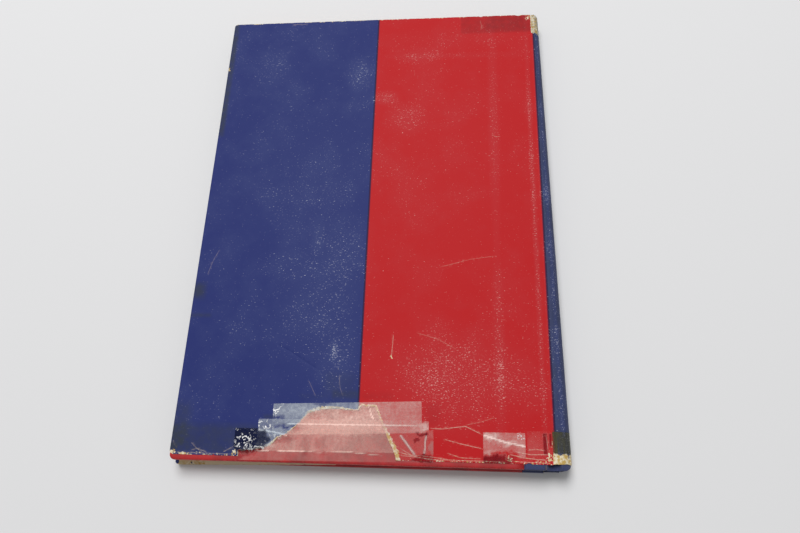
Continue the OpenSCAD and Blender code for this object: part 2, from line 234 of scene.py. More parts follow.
def makePrintedPaper():
    # Offset ink on thin coated paper: satin, speckled white where the ink has rubbed off the fibres
    material, tree = newMaterial("offsetPrintedCoatedPaper")
    point = bookPoint(tree)
    x = add(tree, "SeparateXYZ", {0: point})
    tint = {name: linear(value) for name, value in inks.items()}
    seen = {name: add(tree, "Attribute", attribute_name=name, out="Fac")
            for name in ("rub", "crease", "grime", "core")}
    edges, lines = [], []
    for at in printed["edges"]:  # the inks overprint in a thin dark line
        low, high = at - printed["edgeSoftness"], at + printed["edgeSoftness"]
        edges.append(add(tree, "MapRange", {"Value": x, "From Min": low, "From Max": high}, **smooth))
        away = add(tree, "Math", {0: x, 1: at}, operation="SUBTRACT")
        away = add(tree, "Math", {0: away}, operation="ABSOLUTE")
        far, close = printed["lineReach"]
        lines.append(add(tree, "MapRange", {"Value": away, "From Min": far, "From Max": close,
                                            "To Max": printed["lineStrength"]}))
    cloud = add(tree, "TexNoise", {"Vector": point, "Scale": 1 / printed["cloudSize"], "Detail": 5.0,
                                   "Roughness": 0.62})
    cloud = add(tree, "MapRange", {"Value": cloud, "From Min": 0.42, "From Max": 0.72})
    cloud = add(tree, "Math", {0: cloud, 1: printed["cloudStrength"]}, operation="MULTIPLY")
    worn = add(tree, "Math", {0: seen["rub"], 1: printed["rubStrength"], 2: cloud}, operation="MULTIPLY_ADD",
               use_clamp=True)
    inRed = add(tree, "Math", {0: edges[0], 1: edges[1]}, operation="SUBTRACT")
    # The speckles' density follows the wear. The paper's grain runs across the book, so they are wider than high
    grained = add(tree, "Mapping", {"Vector": point, "Scale": (0.5, 1.0, 1.0)})
    fine = add(tree, "TexNoise", {"Vector": grained, "Scale": 1 / printed["speckleSize"], "Detail": 2.0,
                                  "Roughness": 0.7})
    fresh, rubbed = printed["speckleLevel"]
    level = add(tree, "MapRange", {"Value": worn, "To Min": fresh, "To Max": rubbed})
    span = add(tree, "Math", {0: fine, 1: level}, operation="SUBTRACT")
    speckle = add(tree, "MapRange", {"Value": span, "From Min": 0.0, "From Max": 0.06,
                                     "To Max": printed["speckleStrength"]})
    cell = add(tree, "TexVoronoi", {"Vector": point, "Scale": printed["dotScale"]}, out=None)
    size = add(tree, "SeparateColor", {0: cell.outputs["Color"]})
    size = add(tree, "MapRange", {"Value": size, "From Min": 0.7, "To Max": printed["dotSize"]})
    dots = add(tree, "Math", {0: size, 1: cell.outputs["Distance"]}, operation="SUBTRACT")
    dots = add(tree, "MapRange", {"Value": dots, "From Min": 0.0, "From Max": 0.015,
                                  "To Max": printed["dotStrength"]})
    light = add(tree, "Math", {0: speckle, 1: dots}, operation="MAXIMUM")
    broken = add(tree, "TexNoise", {"Vector": point, "Scale": 1.1, "Detail": 3.0})
    thin = add(tree, "MapRange", {"Value": broken, "From Min": 0.35, "From Max": 0.6, "To Min": 0.35, "To Max": 1.1})
    cracked = add(tree, "Math", {0: seen["crease"], 1: thin}, operation="MULTIPLY", use_clamp=True)
    patchy = add(tree, "TexNoise", {"Vector": point, "Scale": 0.35, "Detail": 3.0})
    patchy = add(tree, "MapRange", {"Value": patchy, "From Min": 0.3, "From Max": 0.6, "To Min": 0.55})
    grime = add(tree, "Math", {0: seen["grime"], 1: patchy}, operation="MULTIPLY", use_clamp=True)
    core = add(tree, "Math", {0: broken, 1: 1.7, 2: seen["core"]}, operation="MULTIPLY_ADD")
    core = add(tree, "MapRange", {"Value": core, "From Min": 1.34, "From Max": 1.46}, **smooth)
    # Stained in spots where the skin is broken, and clean on the unprinted flaps, where the attribute is 2
    clean = add(tree, "MapRange", {"Value": seen["core"], "From Min": 1.2, "From Max": 1.8, "To Min": 1.0,
                                   "To Max": 0.12})
    stain = add(tree, "TexNoise", {"Vector": point, "Scale": 0.55, "Detail": 3.0})
    stain = add(tree, "Math", {0: seen["core"], 1: 0.15, 2: stain}, operation="MULTIPLY_ADD")
    stain = add(tree, "MapRange", {"Value": stain, "From Min": 0.56, "From Max": 0.72, "To Max": clean})
    mixed = {}
    for name, factor, first, second in (
        ("blue", worn, "blue", "blueWorn"), ("red", worn, "red", "redWorn"), ("spine", worn, "spineBlue", "blueWorn"),
        ("pale", inRed, "pale", "paleRed"), ("dirt", inRed, "grime", "redGrime"), ("bare", stain, "core", "aged"),
    ):
        mixed[name] = add(tree, "Mix", {"Factor": factor, "A": tint[first], "B": tint[second]}, **colourMix)
    paper = mixed["blue"]
    for factor, colour in (  # each layer lies over the ones before it
        (edges[0], mixed["red"]), (edges[1], mixed["spine"]), (lines[0], tint["line"]), (lines[1], tint["line"]),
        (light, mixed["pale"]), (cracked, tint["cracked"]), (grime, mixed["dirt"]), (core, mixed["bare"]),
    ):
        paper = add(tree, "Mix", {"Factor": factor, "A": paper, "B": colour}, **colourMix)
    rough = add(tree, "MapRange", {"Value": light, "To Min": 0.58, "To Max": 0.75})
    grain = add(tree, "TexNoise", {"Vector": point, "Scale": 1 / printed["grainSize"], "Detail": 2.0})
    height = add(tree, "Math", {0: core, 1: 0.8}, operation="MULTIPLY")
    height = add(tree, "Math", {0: grain, 1: height}, operation="ADD")
    bump = add(tree, "Bump", {"Height": height, "Strength": 0.25, "Distance": printed["grainHeight"] * mm})
    finishMaterial(tree, {"Base Color": paper, "Roughness": rough, "Normal": bump}, {"Specular IOR Level": 0.12})
    return material


paperTones = {
    "core": ("#d9cba9", "#bfa876", 0.6),  # the jacket's inside and its cut edges, aged from the edge in
    "endpaper": ("#e9e1cd", "#d9cdb2", 0.7),
    "page": ("#ece5d2", "#d6c9a8", 0.45),
    "card": ("#9c8560", "#7f6a48", 0.9),
    "board": ("#8d8270", "#6f6656", 1.1),
}


def makePlainPaper(name, key, fibre):
    # Uncoated stock: no gloss, short fibres and a slow change of tone from age
    material, tree = newMaterial(name)
    light, dark, flock = paperTones[key]
    point = bookPoint(tree)
    slow = add(tree, "TexNoise", {"Vector": point, "Scale": 0.03, "Detail": 3.0})
    fast = add(tree, "TexNoise", {"Vector": point, "Scale": 1 / flock, "Detail": 3.0, "Roughness": 0.6})
    mixed = add(tree, "Math", {0: slow, 1: fast}, operation="MULTIPLY")
    mixed = add(tree, "MapRange", {"Value": mixed, "From Min": 0.12, "From Max": 0.42})
    colour = add(tree, "Mix", {"Factor": mixed, "A": linear(light), "B": linear(dark)}, **colourMix)
    bump = add(tree, "Bump", {"Height": fast, "Strength": 0.3, "Distance": fibre * mm})
    finishMaterial(tree, {"Base Color": colour, "Normal": bump}, {"Roughness": 0.88, "Specular IOR Level": 0.25})
    return material


casePaper = {"red": "#b3151b", "deep": "#8c1015", "edge": "#c9423c", "grain": 0.5}


def makeCasePaper():
    # Dyed side paper of a bound case, calendered: even deep red with a slight leathery grain
    material, tree = newMaterial("calenderedRedSidePaper")
    point = bookPoint(tree)
    cells = add(tree, "TexVoronoi", {"Vector": point, "Scale": 1 / casePaper["grain"]}, out="Distance")
    slow = add(tree, "TexNoise", {"Vector": point, "Scale": 0.12, "Detail": 4.0})
    slow = add(tree, "MapRange", {"Value": slow, "From Min": 0.35, "From Max": 0.68})
    colour = add(tree, "Mix", {"Factor": slow, "A": linear(casePaper["red"]),
                               "B": linear(casePaper["deep"])}, **colourMix)
    # Paler along the rounded board edges: rubbed paper, with a painted highlight along the edge
    rubbed = add(tree, "Attribute", attribute_name="rub", out="Fac")
    fleck = add(tree, "TexNoise", {"Vector": point, "Scale": 1.4, "Detail": 3.0})
    fleck = add(tree, "MapRange", {"Value": fleck, "From Min": 0.4, "From Max": 0.65})
    rubbed = add(tree, "Math", {0: rubbed, 1: fleck}, operation="MULTIPLY", use_clamp=True)
    colour = add(tree, "Mix", {"Factor": rubbed, "A": colour, "B": linear(casePaper["edge"])},
                 **colourMix)
    bump = add(tree, "Bump", {"Height": cells, "Strength": 0.2, "Distance": 0.00008})
    finishMaterial(tree, {"Base Color": colour, "Normal": bump}, {"Roughness": 0.5, "IOR": 1.5})
    return material


bookCloth = {"blue": "#3a4573", "shade": "#252d52", "thread": 0.42}


def makeBookCloth():
    # Starched plain-weave book cloth: threads drawn at 0.42 mm, coarser than the real 0.3 mm, so that they show
    material, tree = newMaterial("starchedPlainWeaveCloth")
    point = bookPoint(tree)
    turns = 2 * math.pi / bookCloth["thread"]
    parts = add(tree, "SeparateXYZ", {0: point}, out=None)
    threads = []
    for axis in ("X", "Y"):
        thread = add(tree, "Math", {0: parts.outputs[axis], 1: turns}, operation="MULTIPLY")
        threads.append(add(tree, "Math", {0: thread}, operation="SINE"))
    weave = add(tree, "Math", {0: threads[0], 1: threads[1]}, operation="MULTIPLY")
    slub = add(tree, "TexNoise", {"Vector": point, "Scale": 2.0, "Detail": 3.0})
    height = add(tree, "Math", {0: weave, 1: slub}, operation="ADD")
    # The weave's hollows are painted darker as shade; the slubs add random tone
    tone = add(tree, "MapRange", {"Value": height, "From Min": -0.5, "From Max": 1.4})
    colour = add(tree, "Mix", {"Factor": tone, "A": linear(bookCloth["shade"]),
                               "B": linear(bookCloth["blue"])}, **colourMix)
    bump = add(tree, "Bump", {"Height": height, "Strength": 0.5, "Distance": 0.0001})
    finishMaterial(tree, {"Base Color": colour, "Normal": bump}, {"Roughness": 0.72, "Sheen Weight": 0.15})
    return material


film = {
    "milk": "#ccd4e0",
    # painted light: brighter than the film's own milk, to make up for the shadow the film casts on the red paper
    "pinkMilk": "#ffd2c6",
    "stuck": "#101840",
    "pinkStuck": "#780810",
    "milkAlpha": 1.05,
    "stuckAlpha": 0.87,
    "yellowed": "#5c5a3e",
    "yellowAlpha": 0.95,
    "glintLineScale": 0.24,
}


def makeTapeFilm():
    # Aged clear acetate tape: milky where the adhesive has let go, dark and wet-looking where it holds,
    # and pink over the red paper, its milk painted brighter there to make up for the film's shadow on the paper
    material, tree = newMaterial("agedAcetateTapeFilm")
    point = bookPoint(tree)
    seen = {name: add(tree, "Attribute", attribute_name=name, out="Fac")
            for name in ("milk", "stuck", "glint", "pink", "yellowed")}
    bubbles = add(tree, "TexNoise", {"Vector": point, "Scale": 0.7, "Detail": 3.0, "Roughness": 0.6})
    upright = add(tree, "Mapping", {"Vector": point, "Scale": (0.35, 0.06, 1.0)})
    streaks = add(tree, "TexNoise", {"Vector": upright, "Scale": 1.0, "Detail": 3.0})
    uneven = add(tree, "Math", {0: bubbles, 1: streaks}, operation="ADD")
    uneven = add(tree, "MapRange", {"Value": uneven, "From Min": 0.7, "From Max": 1.3, "To Min": 0.8, "To Max": 1.2})
    mottled = add(tree, "MapRange", {"Value": bubbles, "From Min": 0.36, "From Max": 0.66, "To Min": 0.88,
                                     "To Max": 1.12})
    cloudy = add(tree, "Math", {0: seen["milk"], 1: uneven}, operation="MULTIPLY")
    cloudy = add(tree, "Math", {0: cloudy, 1: mottled}, operation="MULTIPLY", use_clamp=True)
    held = add(tree, "Math", {0: seen["stuck"], 1: uneven}, operation="MULTIPLY", use_clamp=True)
    # Painted highlights: thin white lines on the crumpled film stand for its glints
    paintedGlints = add(tree, "TexNoise", {"Vector": point, "Scale": film["glintLineScale"], "Detail": 2.0, "Distortion": 1.6})
    paintedGlints = add(tree, "Math", {0: paintedGlints, 1: 0.5}, operation="SUBTRACT")
    paintedGlints = add(tree, "Math", {0: paintedGlints}, operation="ABSOLUTE")  # 0 along the middle of each vein
    grouped = add(tree, "TexNoise", {"Vector": point, "Scale": 0.5, "Detail": 1.0})
    grouped = add(tree, "MapRange", {"Value": grouped, "From Min": 0.42, "From Max": 0.52})
    reach = add(tree, "Math", {0: seen["glint"], 1: grouped}, operation="MULTIPLY")
    reach = add(tree, "Math", {0: reach, 1: 0.055}, operation="MULTIPLY")
    paintedGlints = add(tree, "Math", {0: reach, 1: paintedGlints}, operation="SUBTRACT")
    paintedGlints = add(tree, "MapRange", {"Value": paintedGlints, "From Min": 0.0, "From Max": 0.012})
    paintedGlints = add(tree, "Math", {0: paintedGlints, 1: seen["glint"]}, operation="MULTIPLY")
    old = add(tree, "Math", {0: seen["yellowed"], 1: uneven}, operation="MULTIPLY", use_clamp=True)
    covers = [add(tree, "Math", {0: part, 1: gain}, operation="MULTIPLY", use_clamp=True)
              for part, gain in ((held, 3.0), (old, 4.0))]
    tint = {name: linear(film[name]) for name in ("milk", "pinkMilk", "stuck", "pinkStuck", "yellowed")}
    colour, dark = [add(tree, "Mix", {"Factor": seen["pink"], "A": tint[over], "B": tint[onRed]}, **colourMix)
                    for over, onRed in (("milk", "pinkMilk"), ("stuck", "pinkStuck"))]
    # the painted highlights go in as white over the film's tone
    for factor, layer in ((covers[0], dark), (paintedGlints, (1, 1, 1, 1)), (covers[1], tint["yellowed"])):
        colour = add(tree, "Mix", {"Factor": factor, "A": colour, "B": layer}, **colourMix)
    alpha, sunk, aged = [add(tree, "Math", {0: part, 1: film[gain]}, operation="MULTIPLY")
                         for part, gain in ((cloudy, "milkAlpha"), (held, "stuckAlpha"), (old, "yellowAlpha"))]
    for part in (aged, sunk, paintedGlints):
        alpha = add(tree, "Math", {0: alpha, 1: part}, operation="MAXIMUM", use_clamp=part is paintedGlints)
    for step in ("SUBTRACT", "SQRT", "SUBTRACT"):  # shared out between the film's two faces
        alpha = add(tree, "Math", {0: alpha} if step == "SQRT" else {0: 1.0, 1: alpha}, operation=step)
    height = add(tree, "Math", {0: paintedGlints, 1: 2.0, 2: bubbles}, operation="MULTIPLY_ADD")
    bump = add(tree, "Bump", {"Height": height, "Strength": 0.3, "Distance": 0.0001})
    finishMaterial(tree, {"Base Color": colour, "Alpha": alpha, "Normal": bump},
                   {"Roughness": 0.25, "Specular IOR Level": 0.2})
    return material


threadTones = {"thread": ("#ddd6c4", "#b7ad96", 0.3), "gauze": ("#d9d3c2", "#a59e8b", 1.2)}


def makeThread(name, key):
    # Unbleached cotton: matt, with the thread's own shading
    material, tree = newMaterial(name)
    light, dark, size = threadTones[key]
    point = bookPoint(tree)
    weave = add(tree, "TexNoise", {"Vector": point, "Scale": 1 / size, "Detail": 2.0})
    colour = add(tree, "Mix", {"Factor": weave, "A": linear(light), "B": linear(dark)}, **colourMix)
    bump = add(tree, "Bump", {"Height": weave, "Strength": 0.4, "Distance": 0.00008})
    finishMaterial(tree, {"Base Color": colour, "Normal": bump}, {"Roughness": 0.9, "Sheen Weight": 0.2})
    return material


printedPaper = makePrintedPaper()
corePaper = makePlainPaper("uncoatedJacketPaperCore", "core", 0.05)
endpaper = makePlainPaper("uncoatedEndpaper", "endpaper", 0.04)
pagePaper = makePlainPaper("cutPageEdges", "page", 0.05)
spineCard = makePlainPaper("kraftSpineCard", "card", 0.08)
greyBoard = makePlainPaper("greyBinderBoard", "board", 0.1)
sidePaper = makeCasePaper()
cloth = makeBookCloth()
tapeFilm = makeTapeFilm()
cotton = makeThread("unbleachedCottonThread", "thread")
gauze = makeThread("openWeaveCottonMull", "gauze")
print("materials made")

# Mesh making


def wave(x, y, size, seed=0.0):
    return noise.fractal(Vector((x / size, y / size, seed)), 0.7, 2.1, 3)


def waves(xs, ys, size, seed=0.0):
    return np.array([wave(x, y, size, seed) for x, y in zip(xs, ys)])


def gridFaces(rows, count):
    # Four-sided faces over rows of count points
    return [(r * count + i, r * count + i + 1, (r + 1) * count + i + 1, (r + 1) * count + i)
            for r in range(rows - 1) for i in range(count - 1)]


def meshPiece(name, points, faces, materials, faceMaterial=None, attributes=None, sharp=40):
    mesh = bpy.data.meshes.new(name)
    mesh.from_pydata([tuple(p) for p in toMetres(points)], [], [tuple(f) for f in faces])
    for material in materials:
        mesh.materials.append(material)
    if faceMaterial is not None:
        mesh.polygons.foreach_set("material_index", np.asarray(faceMaterial, np.int32))
    for key, values in (attributes or {}).items():
        layer = mesh.attributes.new(key, "FLOAT", "POINT")
        layer.data.foreach_set("value", np.asarray(values, np.float32))
    mesh.shade_smooth()
    mesh.set_sharp_from_angle(angle=math.radians(sharp))
    mesh.validate()
    piece = bpy.data.objects.new(name, mesh)
    scene.collection.objects.link(piece)
    return piece


def nearest(points, line):
    # Distance from each point to a polyline, and how far along it the nearest place is, from 0 to 1
    points, line = np.asarray(points, float)[:, :2], np.asarray(line, float)[:, :2]
    best = np.full(len(points), 1e9)
    share = np.zeros(len(points))
    lengths = np.linalg.norm(np.diff(line, axis=0), axis=1)
    done = 0.0
    for a, b, length in zip(line[:-1], line[1:], lengths):
        t = np.clip(((points - a) @ (b - a)) / max(length, 1e-9) ** 2, 0, 1)
        d = np.linalg.norm(points - a - t[:, None] * (b - a), axis=1)
        closer = d < best
        best[closer] = d[closer]
        share[closer] = ((done + t * length) / lengths.sum())[closer]
        done += length
    return best, share


def inside(points, loop):
    # Whether each point lies in the loop: a ray from it crosses the loop an odd number of times
    points, loop = np.asarray(points, float), np.asarray(loop, float)
    odd = np.zeros(len(points), bool)
    for a, b in zip(loop, np.roll(loop, -1, axis=0)):
        crosses = (a[1] > points[:, 1]) != (b[1] > points[:, 1])
        rise = b[1] - a[1]
        at = a[0] + (points[:, 1] - a[1]) * (b[0] - a[0]) / (rise if rise else 1e-9)
        odd ^= crosses & (points[:, 0] < at)
    return odd


def along(line, step):
    # The line's points and as many between them as the step asks for
    line = np.asarray(line, float)
    out = [line[0]]
    for a, b in zip(line[:-1], line[1:]):
        n = max(1, round(np.linalg.norm((b - a)[:2]) / step))
        out += [a + (b - a) * i / n for i in range(1, n + 1)]
    return np.array(out)


def sideways(line):
    # Unit vectors to the left of a line, one at each of its points
    turn = np.gradient(line, axis=0)
    turn /= np.linalg.norm(turn, axis=1)[:, None]
    return np.stack([-turn[:, 1], turn[:, 0]], 1)


def triangulate(loop, gridX, gridY, ribs=(), clear=0.6, rings=()):
    # A flat triangulation of the loop with grid points inside, extra points in rings and edges along the ribs
    grid = np.array([(x, y) for x in gridX for y in gridY])
    grid = grid[inside(grid, loop)]
    closed = np.vstack([loop, loop[:1]])
    grid = grid[nearest(grid, closed)[0] > clear]
    extra = [np.asarray(r)[:, :2] for r in rings]
    for rib in list(ribs) + extra:
        grid = grid[nearest(grid, rib)[0] > clear * 0.7]
    points, edges = [tuple(p) for p in loop], [(i, (i + 1) % len(loop)) for i in range(len(loop))]
    for rib in ribs:
        start = len(points)
        points += [tuple(p) for p in np.asarray(rib)[:, :2]]
        edges += [(start + i, start + i + 1) for i in range(len(rib) - 1)]
    for ring in extra:
        points += [tuple(p) for p in ring[inside(ring, loop)]]
    points += [tuple(p) for p in grid]
    made = delaunay_2d_cdt([Vector(p) for p in points], edges, [], 1, 1e-5)
    return np.array([tuple(v) for v in made[0]]), np.array([f for f in made[2] if len(f) == 3])


def doubled(faces, outer, inner):
    # Closes a sheet: its outside, its inside the other way round, and a rim
    count = len(outer)
    directed = np.vstack([faces[:, [0, 1]], faces[:, [1, 2]], faces[:, [2, 0]]])
    known = {(a, b) for a, b in directed}
    rim = [(b, a, a + count, b + count) for a, b in known if (b, a) not in known]
    allFaces = [tuple(f) for f in faces] + [(c + count, b + count, a + count) for a, b, c in faces] + rim
    slots = [0] * len(faces) + [1] * (len(faces) + len(rim))
    return np.vstack([outer, inner]), allFaces, slots


# The jacket: one sheet in the real book, split at the two hinge lines because the covers turn there

jacket = {
    "paper": 0.2,
    "foldRadius": 0.8,
    "foldDepth": 3.75,
    "flap": 88.0,
    "cornerRadius": 2.5,
    "step": 1.9,
    "fineStep": 0.8,  # where the tail is worn through
    "edgeStep": 0.8,
    "tearStep": 0.6,
    "tearFray": 0.35,
    "creaseStep": 0.9,
    "creaseWander": 0.12,
    "clear": 0.55,  # the least distance from a grid point to an outline or a crease
    "raggedness": 0.22,
    "swell": 0.16,  # how far the worn sheet stands off the boards in places
    "printEnd": -5.2,  # the print ends here on the flap
    "foldColumns": (-4.2, 1.5, 15),
    "tearRings": (0.45, 0.9, 1.5, 2.2, 3.0),  # rows of points beside the tear
    "tailNotches": [(128.5, 0.5, 1.2), (143, 0.4, 0.8), (170, 0.5, 1.0), (186, 0.8, 1.6), (24, 0.7, 0.8)],
    "headNotches": [(118, 0.5, 1.0), (166, 0.7, 1.2), (190, 0.6, 2.0), (60, 0.4, 0.9)],
}


def foldPath(u):
    # The sheet's outside in cross-section: flat to u = the fold's radius, round the fore-edge, then the flap inside
    r, depth = jacket["foldRadius"], jacket["foldDepth"]
    quarter, rise = r * math.pi / 2, depth - 2 * r
    u = np.asarray(u, float)
    past = np.maximum(r - u, 0)
    first = np.clip(past, 0, quarter) / r
    second = np.clip(past - quarter - rise, 0, quarter) / r
    down = np.clip(past - quarter, 0, rise)
    x = np.where(past > 0, r - r * np.sin(first), u)
    d = r - r * np.cos(first) + down
    nx, nd = -np.sin(first), -np.cos(first)
    low = past > quarter + rise
    x = np.where(low, r - r * np.cos(second) + np.maximum(past - 2 * quarter - rise, 0), x)
    d = np.where(low, r + rise + r * np.sin(second), d)
    nx = np.where(low, -np.cos(second), nx)
    nd = np.where(low, np.sin(second), nd)
    return x, d, nx, nd


foldRadius = jacket["foldRadius"]
flapEnd = foldRadius * (2 - math.pi) - jacket["foldDepth"] + 2 * foldRadius + foldRadius - jacket["flap"]

# The tear at the tail of the back panel, and how wide the paper's core shows along it
tear = [
    (37.1, 0.0, 0.5), (37.1, 3.0, 0.5), (39.4, 2.6, 0.5), (45.8, 3.4, 0.7), (49.5, 4.1, 1.3), (53.9, 5.8, 1.6),
    (57.6, 10.1, 0.7), (61.8, 11.6, 0.7), (65.0, 14.5, 0.6), (68.3, 17.7, 0.6), (71.2, 20.7, 0.9), (73.0, 22.6, 1.4),
    (77.4, 24.1, 1.8), (82.7, 24.9, 1.6), (87.4, 25.2, 1.2), (93.8, 24.5, 0.8), (99.3, 24.4, 0.8),
    (100.8, 27.0, 1.0), (107.5, 26.4, 1.2), (109.7, 22.6, 1.0), (111.5, 18.0, 1.1), (113.2, 14.5, 1.5),
    (115.4, 9.5, 2.2), (117.9, 5.0, 2.6), (119.9, 0.0, 2.4),
]


def tornLine():
    fray = jacket["tearFray"]
    return np.array([(x + fray * wave(x, y, 1.8, 3.0), y + fray * wave(x, y, 1.8, 7.0) if y > 0 else y, w)
                     for x, y, w in along(tear, jacket["tearStep"])])


def panelEnd(u, tail, seed, notches):
    # The y of a worn tail or head edge, rounded off where it meets the fore-edge
    x, r = foldPath([u])[0][0], jacket["cornerRadius"]
    back = r - math.sqrt(max(r * r - (r - x) ** 2, 0)) if x < r else 0.0
    worn = jacket["raggedness"] * (wave(u, 0, 3.0, seed) + 0.6 * wave(u, 0, 0.9, seed + 5))
    for at, deep, wide in notches:
        worn -= deep * max(0.0, 1 - abs(u - at) / wide)
    worn = min(worn, 0.0) - 0.03
    return tail + (back - worn if seed < 20 else -(back - worn))


creases = [  # width, how far the ink is gone, how far the paper is bared, lift, and the line along it
    (0.26, 0.80, 0.00, 0.08, [(136.0, 16.2), (143.0, 16.0), (149.0, 16.9), (154.6, 17.6), (163.8, 13.4)]),
    (0.22, 0.34, 0.00, 0.04, [(154.2, 18.2), (162.0, 19.8), (170.0, 22.5)]),
    (0.25, 0.75, 0.00, 0.06, [(143.1, 11.1), (152.0, 9.0), (163.8, 6.6)]),
    (0.26, 0.70, 0.00, 0.06, [(120.5, 13.0), (124.5, 8.0), (129.0, 2.6)]),
    (0.26, 0.80, 0.50, 0.05, [(120.5, 4.2), (128.0, 2.4), (139.0, 0.4)]),
    (0.26, 0.80, 0.50, 0.05, [(121.0, 2.6), (131.0, 1.8), (143.0, 0.5)]),
    (0.25, 0.70, 0.45, 0.05, [(121.0, 6.2), (127.0, 2.9), (133.0, 2.6), (146.0, 1.3)]),
    (0.25, 0.80, 0.55, 0.05, [(139.0, 1.3), (150.0, 0.8), (164.0, 0.9), (176.0, 0.7)]),
    (0.23, 0.60, 0.40, 0.04, [(145.0, 4.4), (152.0, 2.2), (163.0, 1.9)]),
    (0.25, 0.70, 0.00, 0.05, [(115.2, 52.5), (115.6, 58.0), (116.0, 65.6)]),
    (0.30, 0.00, 0.00, -0.12, [(51.7, 59.1), (60.0, 55.0), (69.0, 49.4), (77.6, 44.4)]),
    (0.25, 0.80, 0.30, 0.05, [(11.0, 6.4), (14.2, 3.6), (18.6, 0.9)]),
    (0.25, 0.80, 0.30, 0.05, [(11.4, 2.2), (15.0, 3.2), (20.5, 1.4)]),
    (0.25, 0.80, 0.30, 0.05, [(1.3, 7.4), (2.2, 4.9), (4.1, 3.3)]),
    (0.25, 0.80, 0.30, 0.05, [(29.0, 1.6), (32.0, 3.4), (34.5, 4.8)]),
    (0.23, 0.70, 0.50, 0.03, [(2.0, 1.2), (9.0, 1.0), (20.0, 0.9), (35.0, 0.8)]),
    (0.22, 0.34, 0.00, 0.03, [(87.5, 43.0), (88.5, 36.0), (90.3, 31.5)]),
    (0.22, 0.28, 0.00, 0.03, [(71.0, 40.0), (74.0, 34.5), (76.0, 31.0)]),
    (0.22, 0.32, 0.00, 0.03, [(6.5, 99.0), (9.0, 108.5), (12.0, 115.5)]),
    (0.22, 0.36, 0.00, 0.03, [(128.0, 66.5), (140.0, 63.0), (150.0, 57.5)]),
    (0.22, 0.32, 0.00, 0.03, [(140.0, 104.0), (158.0, 109.0), (172.0, 111.0)]),
    (0.28, 0.90, 0.55, 0.06, [(176.0, 4.6), (184.0, 2.9), (190.0, 2.4), (196.5, 2.2)]),
    (0.25, 0.80, 0.50, 0.05, [(179.0, 5.9), (187.0, 4.6), (196.5, 4.9)]),
    (0.25, 0.75, 0.45, 0.05, [(185.6, 6.8), (190.0, 7.2), (194.5, 6.6)]),
    (0.25, 0.80, 0.50, 0.05, [(178.0, 1.2), (186.0, 0.9), (197.0, 0.8)]),
    (0.23, 0.60, 0.30, 0.04, [(195.6, 7.0), (195.2, 11.0), (194.8, 15.0)]),
    (0.22, 0.50, 0.00, 0.03, [(40.0, 278.2), (45.0, 278.5), (51.0, 278.1)]),
    (0.22, 0.45, 0.00, 0.03, [(165.5, 276.5), (166.5, 272.0), (166.0, 268.5)]),
    (0.22, 0.40, 0.00, 0.03, [(171.0, 189.5), (173.9, 188.3), (177.0, 188.6)]),
]


def softBox(x, y, box, soft):
    x0, x1, y0, y1 = box
    across = np.clip((x - x0) / soft, 0, 1) * np.clip((x1 - x) / soft, 0, 1)
    return across * np.clip((y - y0) / soft, 0, 1) * np.clip((y1 - y) / soft, 0, 1)


def softSpot(x, y, spot):
    cx, cy, rx, ry = spot
    return np.clip(1.3 - np.hypot((x - cx) / rx, (y - cy) / ry), 0, 1)


wear = {
    "rubSpots": [  # centre x, y, half width, half height, strength
        (60, 165, 40, 40, 0.25), (75, 90, 26, 50, 0.5), (150, 42, 44, 26, 0.85), (152, 180, 46, 60, 0.08),
        (30, 248, 16, 16, 0.3), (64, 258, 10, 14, 0.3), (88, 236, 7, 14, 0.6), (45, 222, 12, 10, 0.3),
        (106, 218, 8, 5, 1.1), (118, 203, 12, 11, 0.9), (124, 250, 16, 6, 0.5), (145, 249, 40, 2.4, 0.45),
        (140, 262, 40, 8, 0.3), (172.7, 60, 3.0, 60, 0.6), (172.7, 200, 3.2, 75, 0.7),
        (194.6, 140, 1.5, 150, 0.95), (88, 46, 11, 24, 0.35), (194, 208, 3, 12, 0.5), (84, 56, 2.0, 6, 1.0),
        (70, 120, 4, 8, 0.5),
    ],
    "grimeBoxes": [  # x0, x1, y0, y1, softness, strength
        (-9, 51, -1, 17.5, 4.0, 0.5), (-9, 11, -1, 29, 5.0, 0.4), (84, 99, 29.5, 34.5, 0.7, 0.4),
        (99, 118, 29, 34.5, 2.0, 0.14),
        (48, 55, 19, 21.5, 0.7, 0.5), (66, 84, 29, 33, 2.0, 0.2),
        (-9, 4.2, 192, 290, 1.2, 0.75), (-9, 8, 84, 96, 3.0, 0.7), (-9, 12.6, 74, 77, 1.2, 0.5),
        (152.7, 199, 266, 281, 0.7, 0.26), (168, 199, 266, 281, 3.0, 0.16), (132.4, 143, 16, 30, 3.0, 0.12),
        (162, 180, -1, 4.8, 1.5, 0.25), (78, 99, 31, 46, 4.0, 0.2),
    ],
    "bareSpots": [  # where the printed skin is rubbed or torn off: centre x, y, half width, half height, strength
        (176.3, 2.0, 2.2, 2.8, 0.95), (196.4, 3.2, 2.4, 4.8, 1.0), (192.5, 1.2, 5.5, 1.8, 0.75),
        (181.5, 0.6, 4.0, 1.2, 0.6), (168.0, 0.3, 6.0, 0.9, 0.5), (150.0, 0.3, 9.0, 1.0, 0.6),
        (1.6, 1.0, 2.4, 2.2, 1.4), (7.5, 0.4, 4.0, 1.1, 1.3), (15.5, 1.4, 2.6, 1.0, 0.8),
        (27.0, 0.4, 4.5, 1.0, 0.8), (35.0, 2.0, 1.6, 2.4, 1.2),
        (196.5, 277.5, 2.6, 3.4, 1.0), (0.6, 243.0, 1.4, 2.0, 1.2), (84.8, 56.0, 0.7, 4.0, 0.6),
        (86.7, 45.7, 1.1, 1.1, 1.3), (115.5, 53.0, 1.0, 1.0, 1.4), (198.0, 10.0, 0.6, 5.0, 0.7),
    ],
}


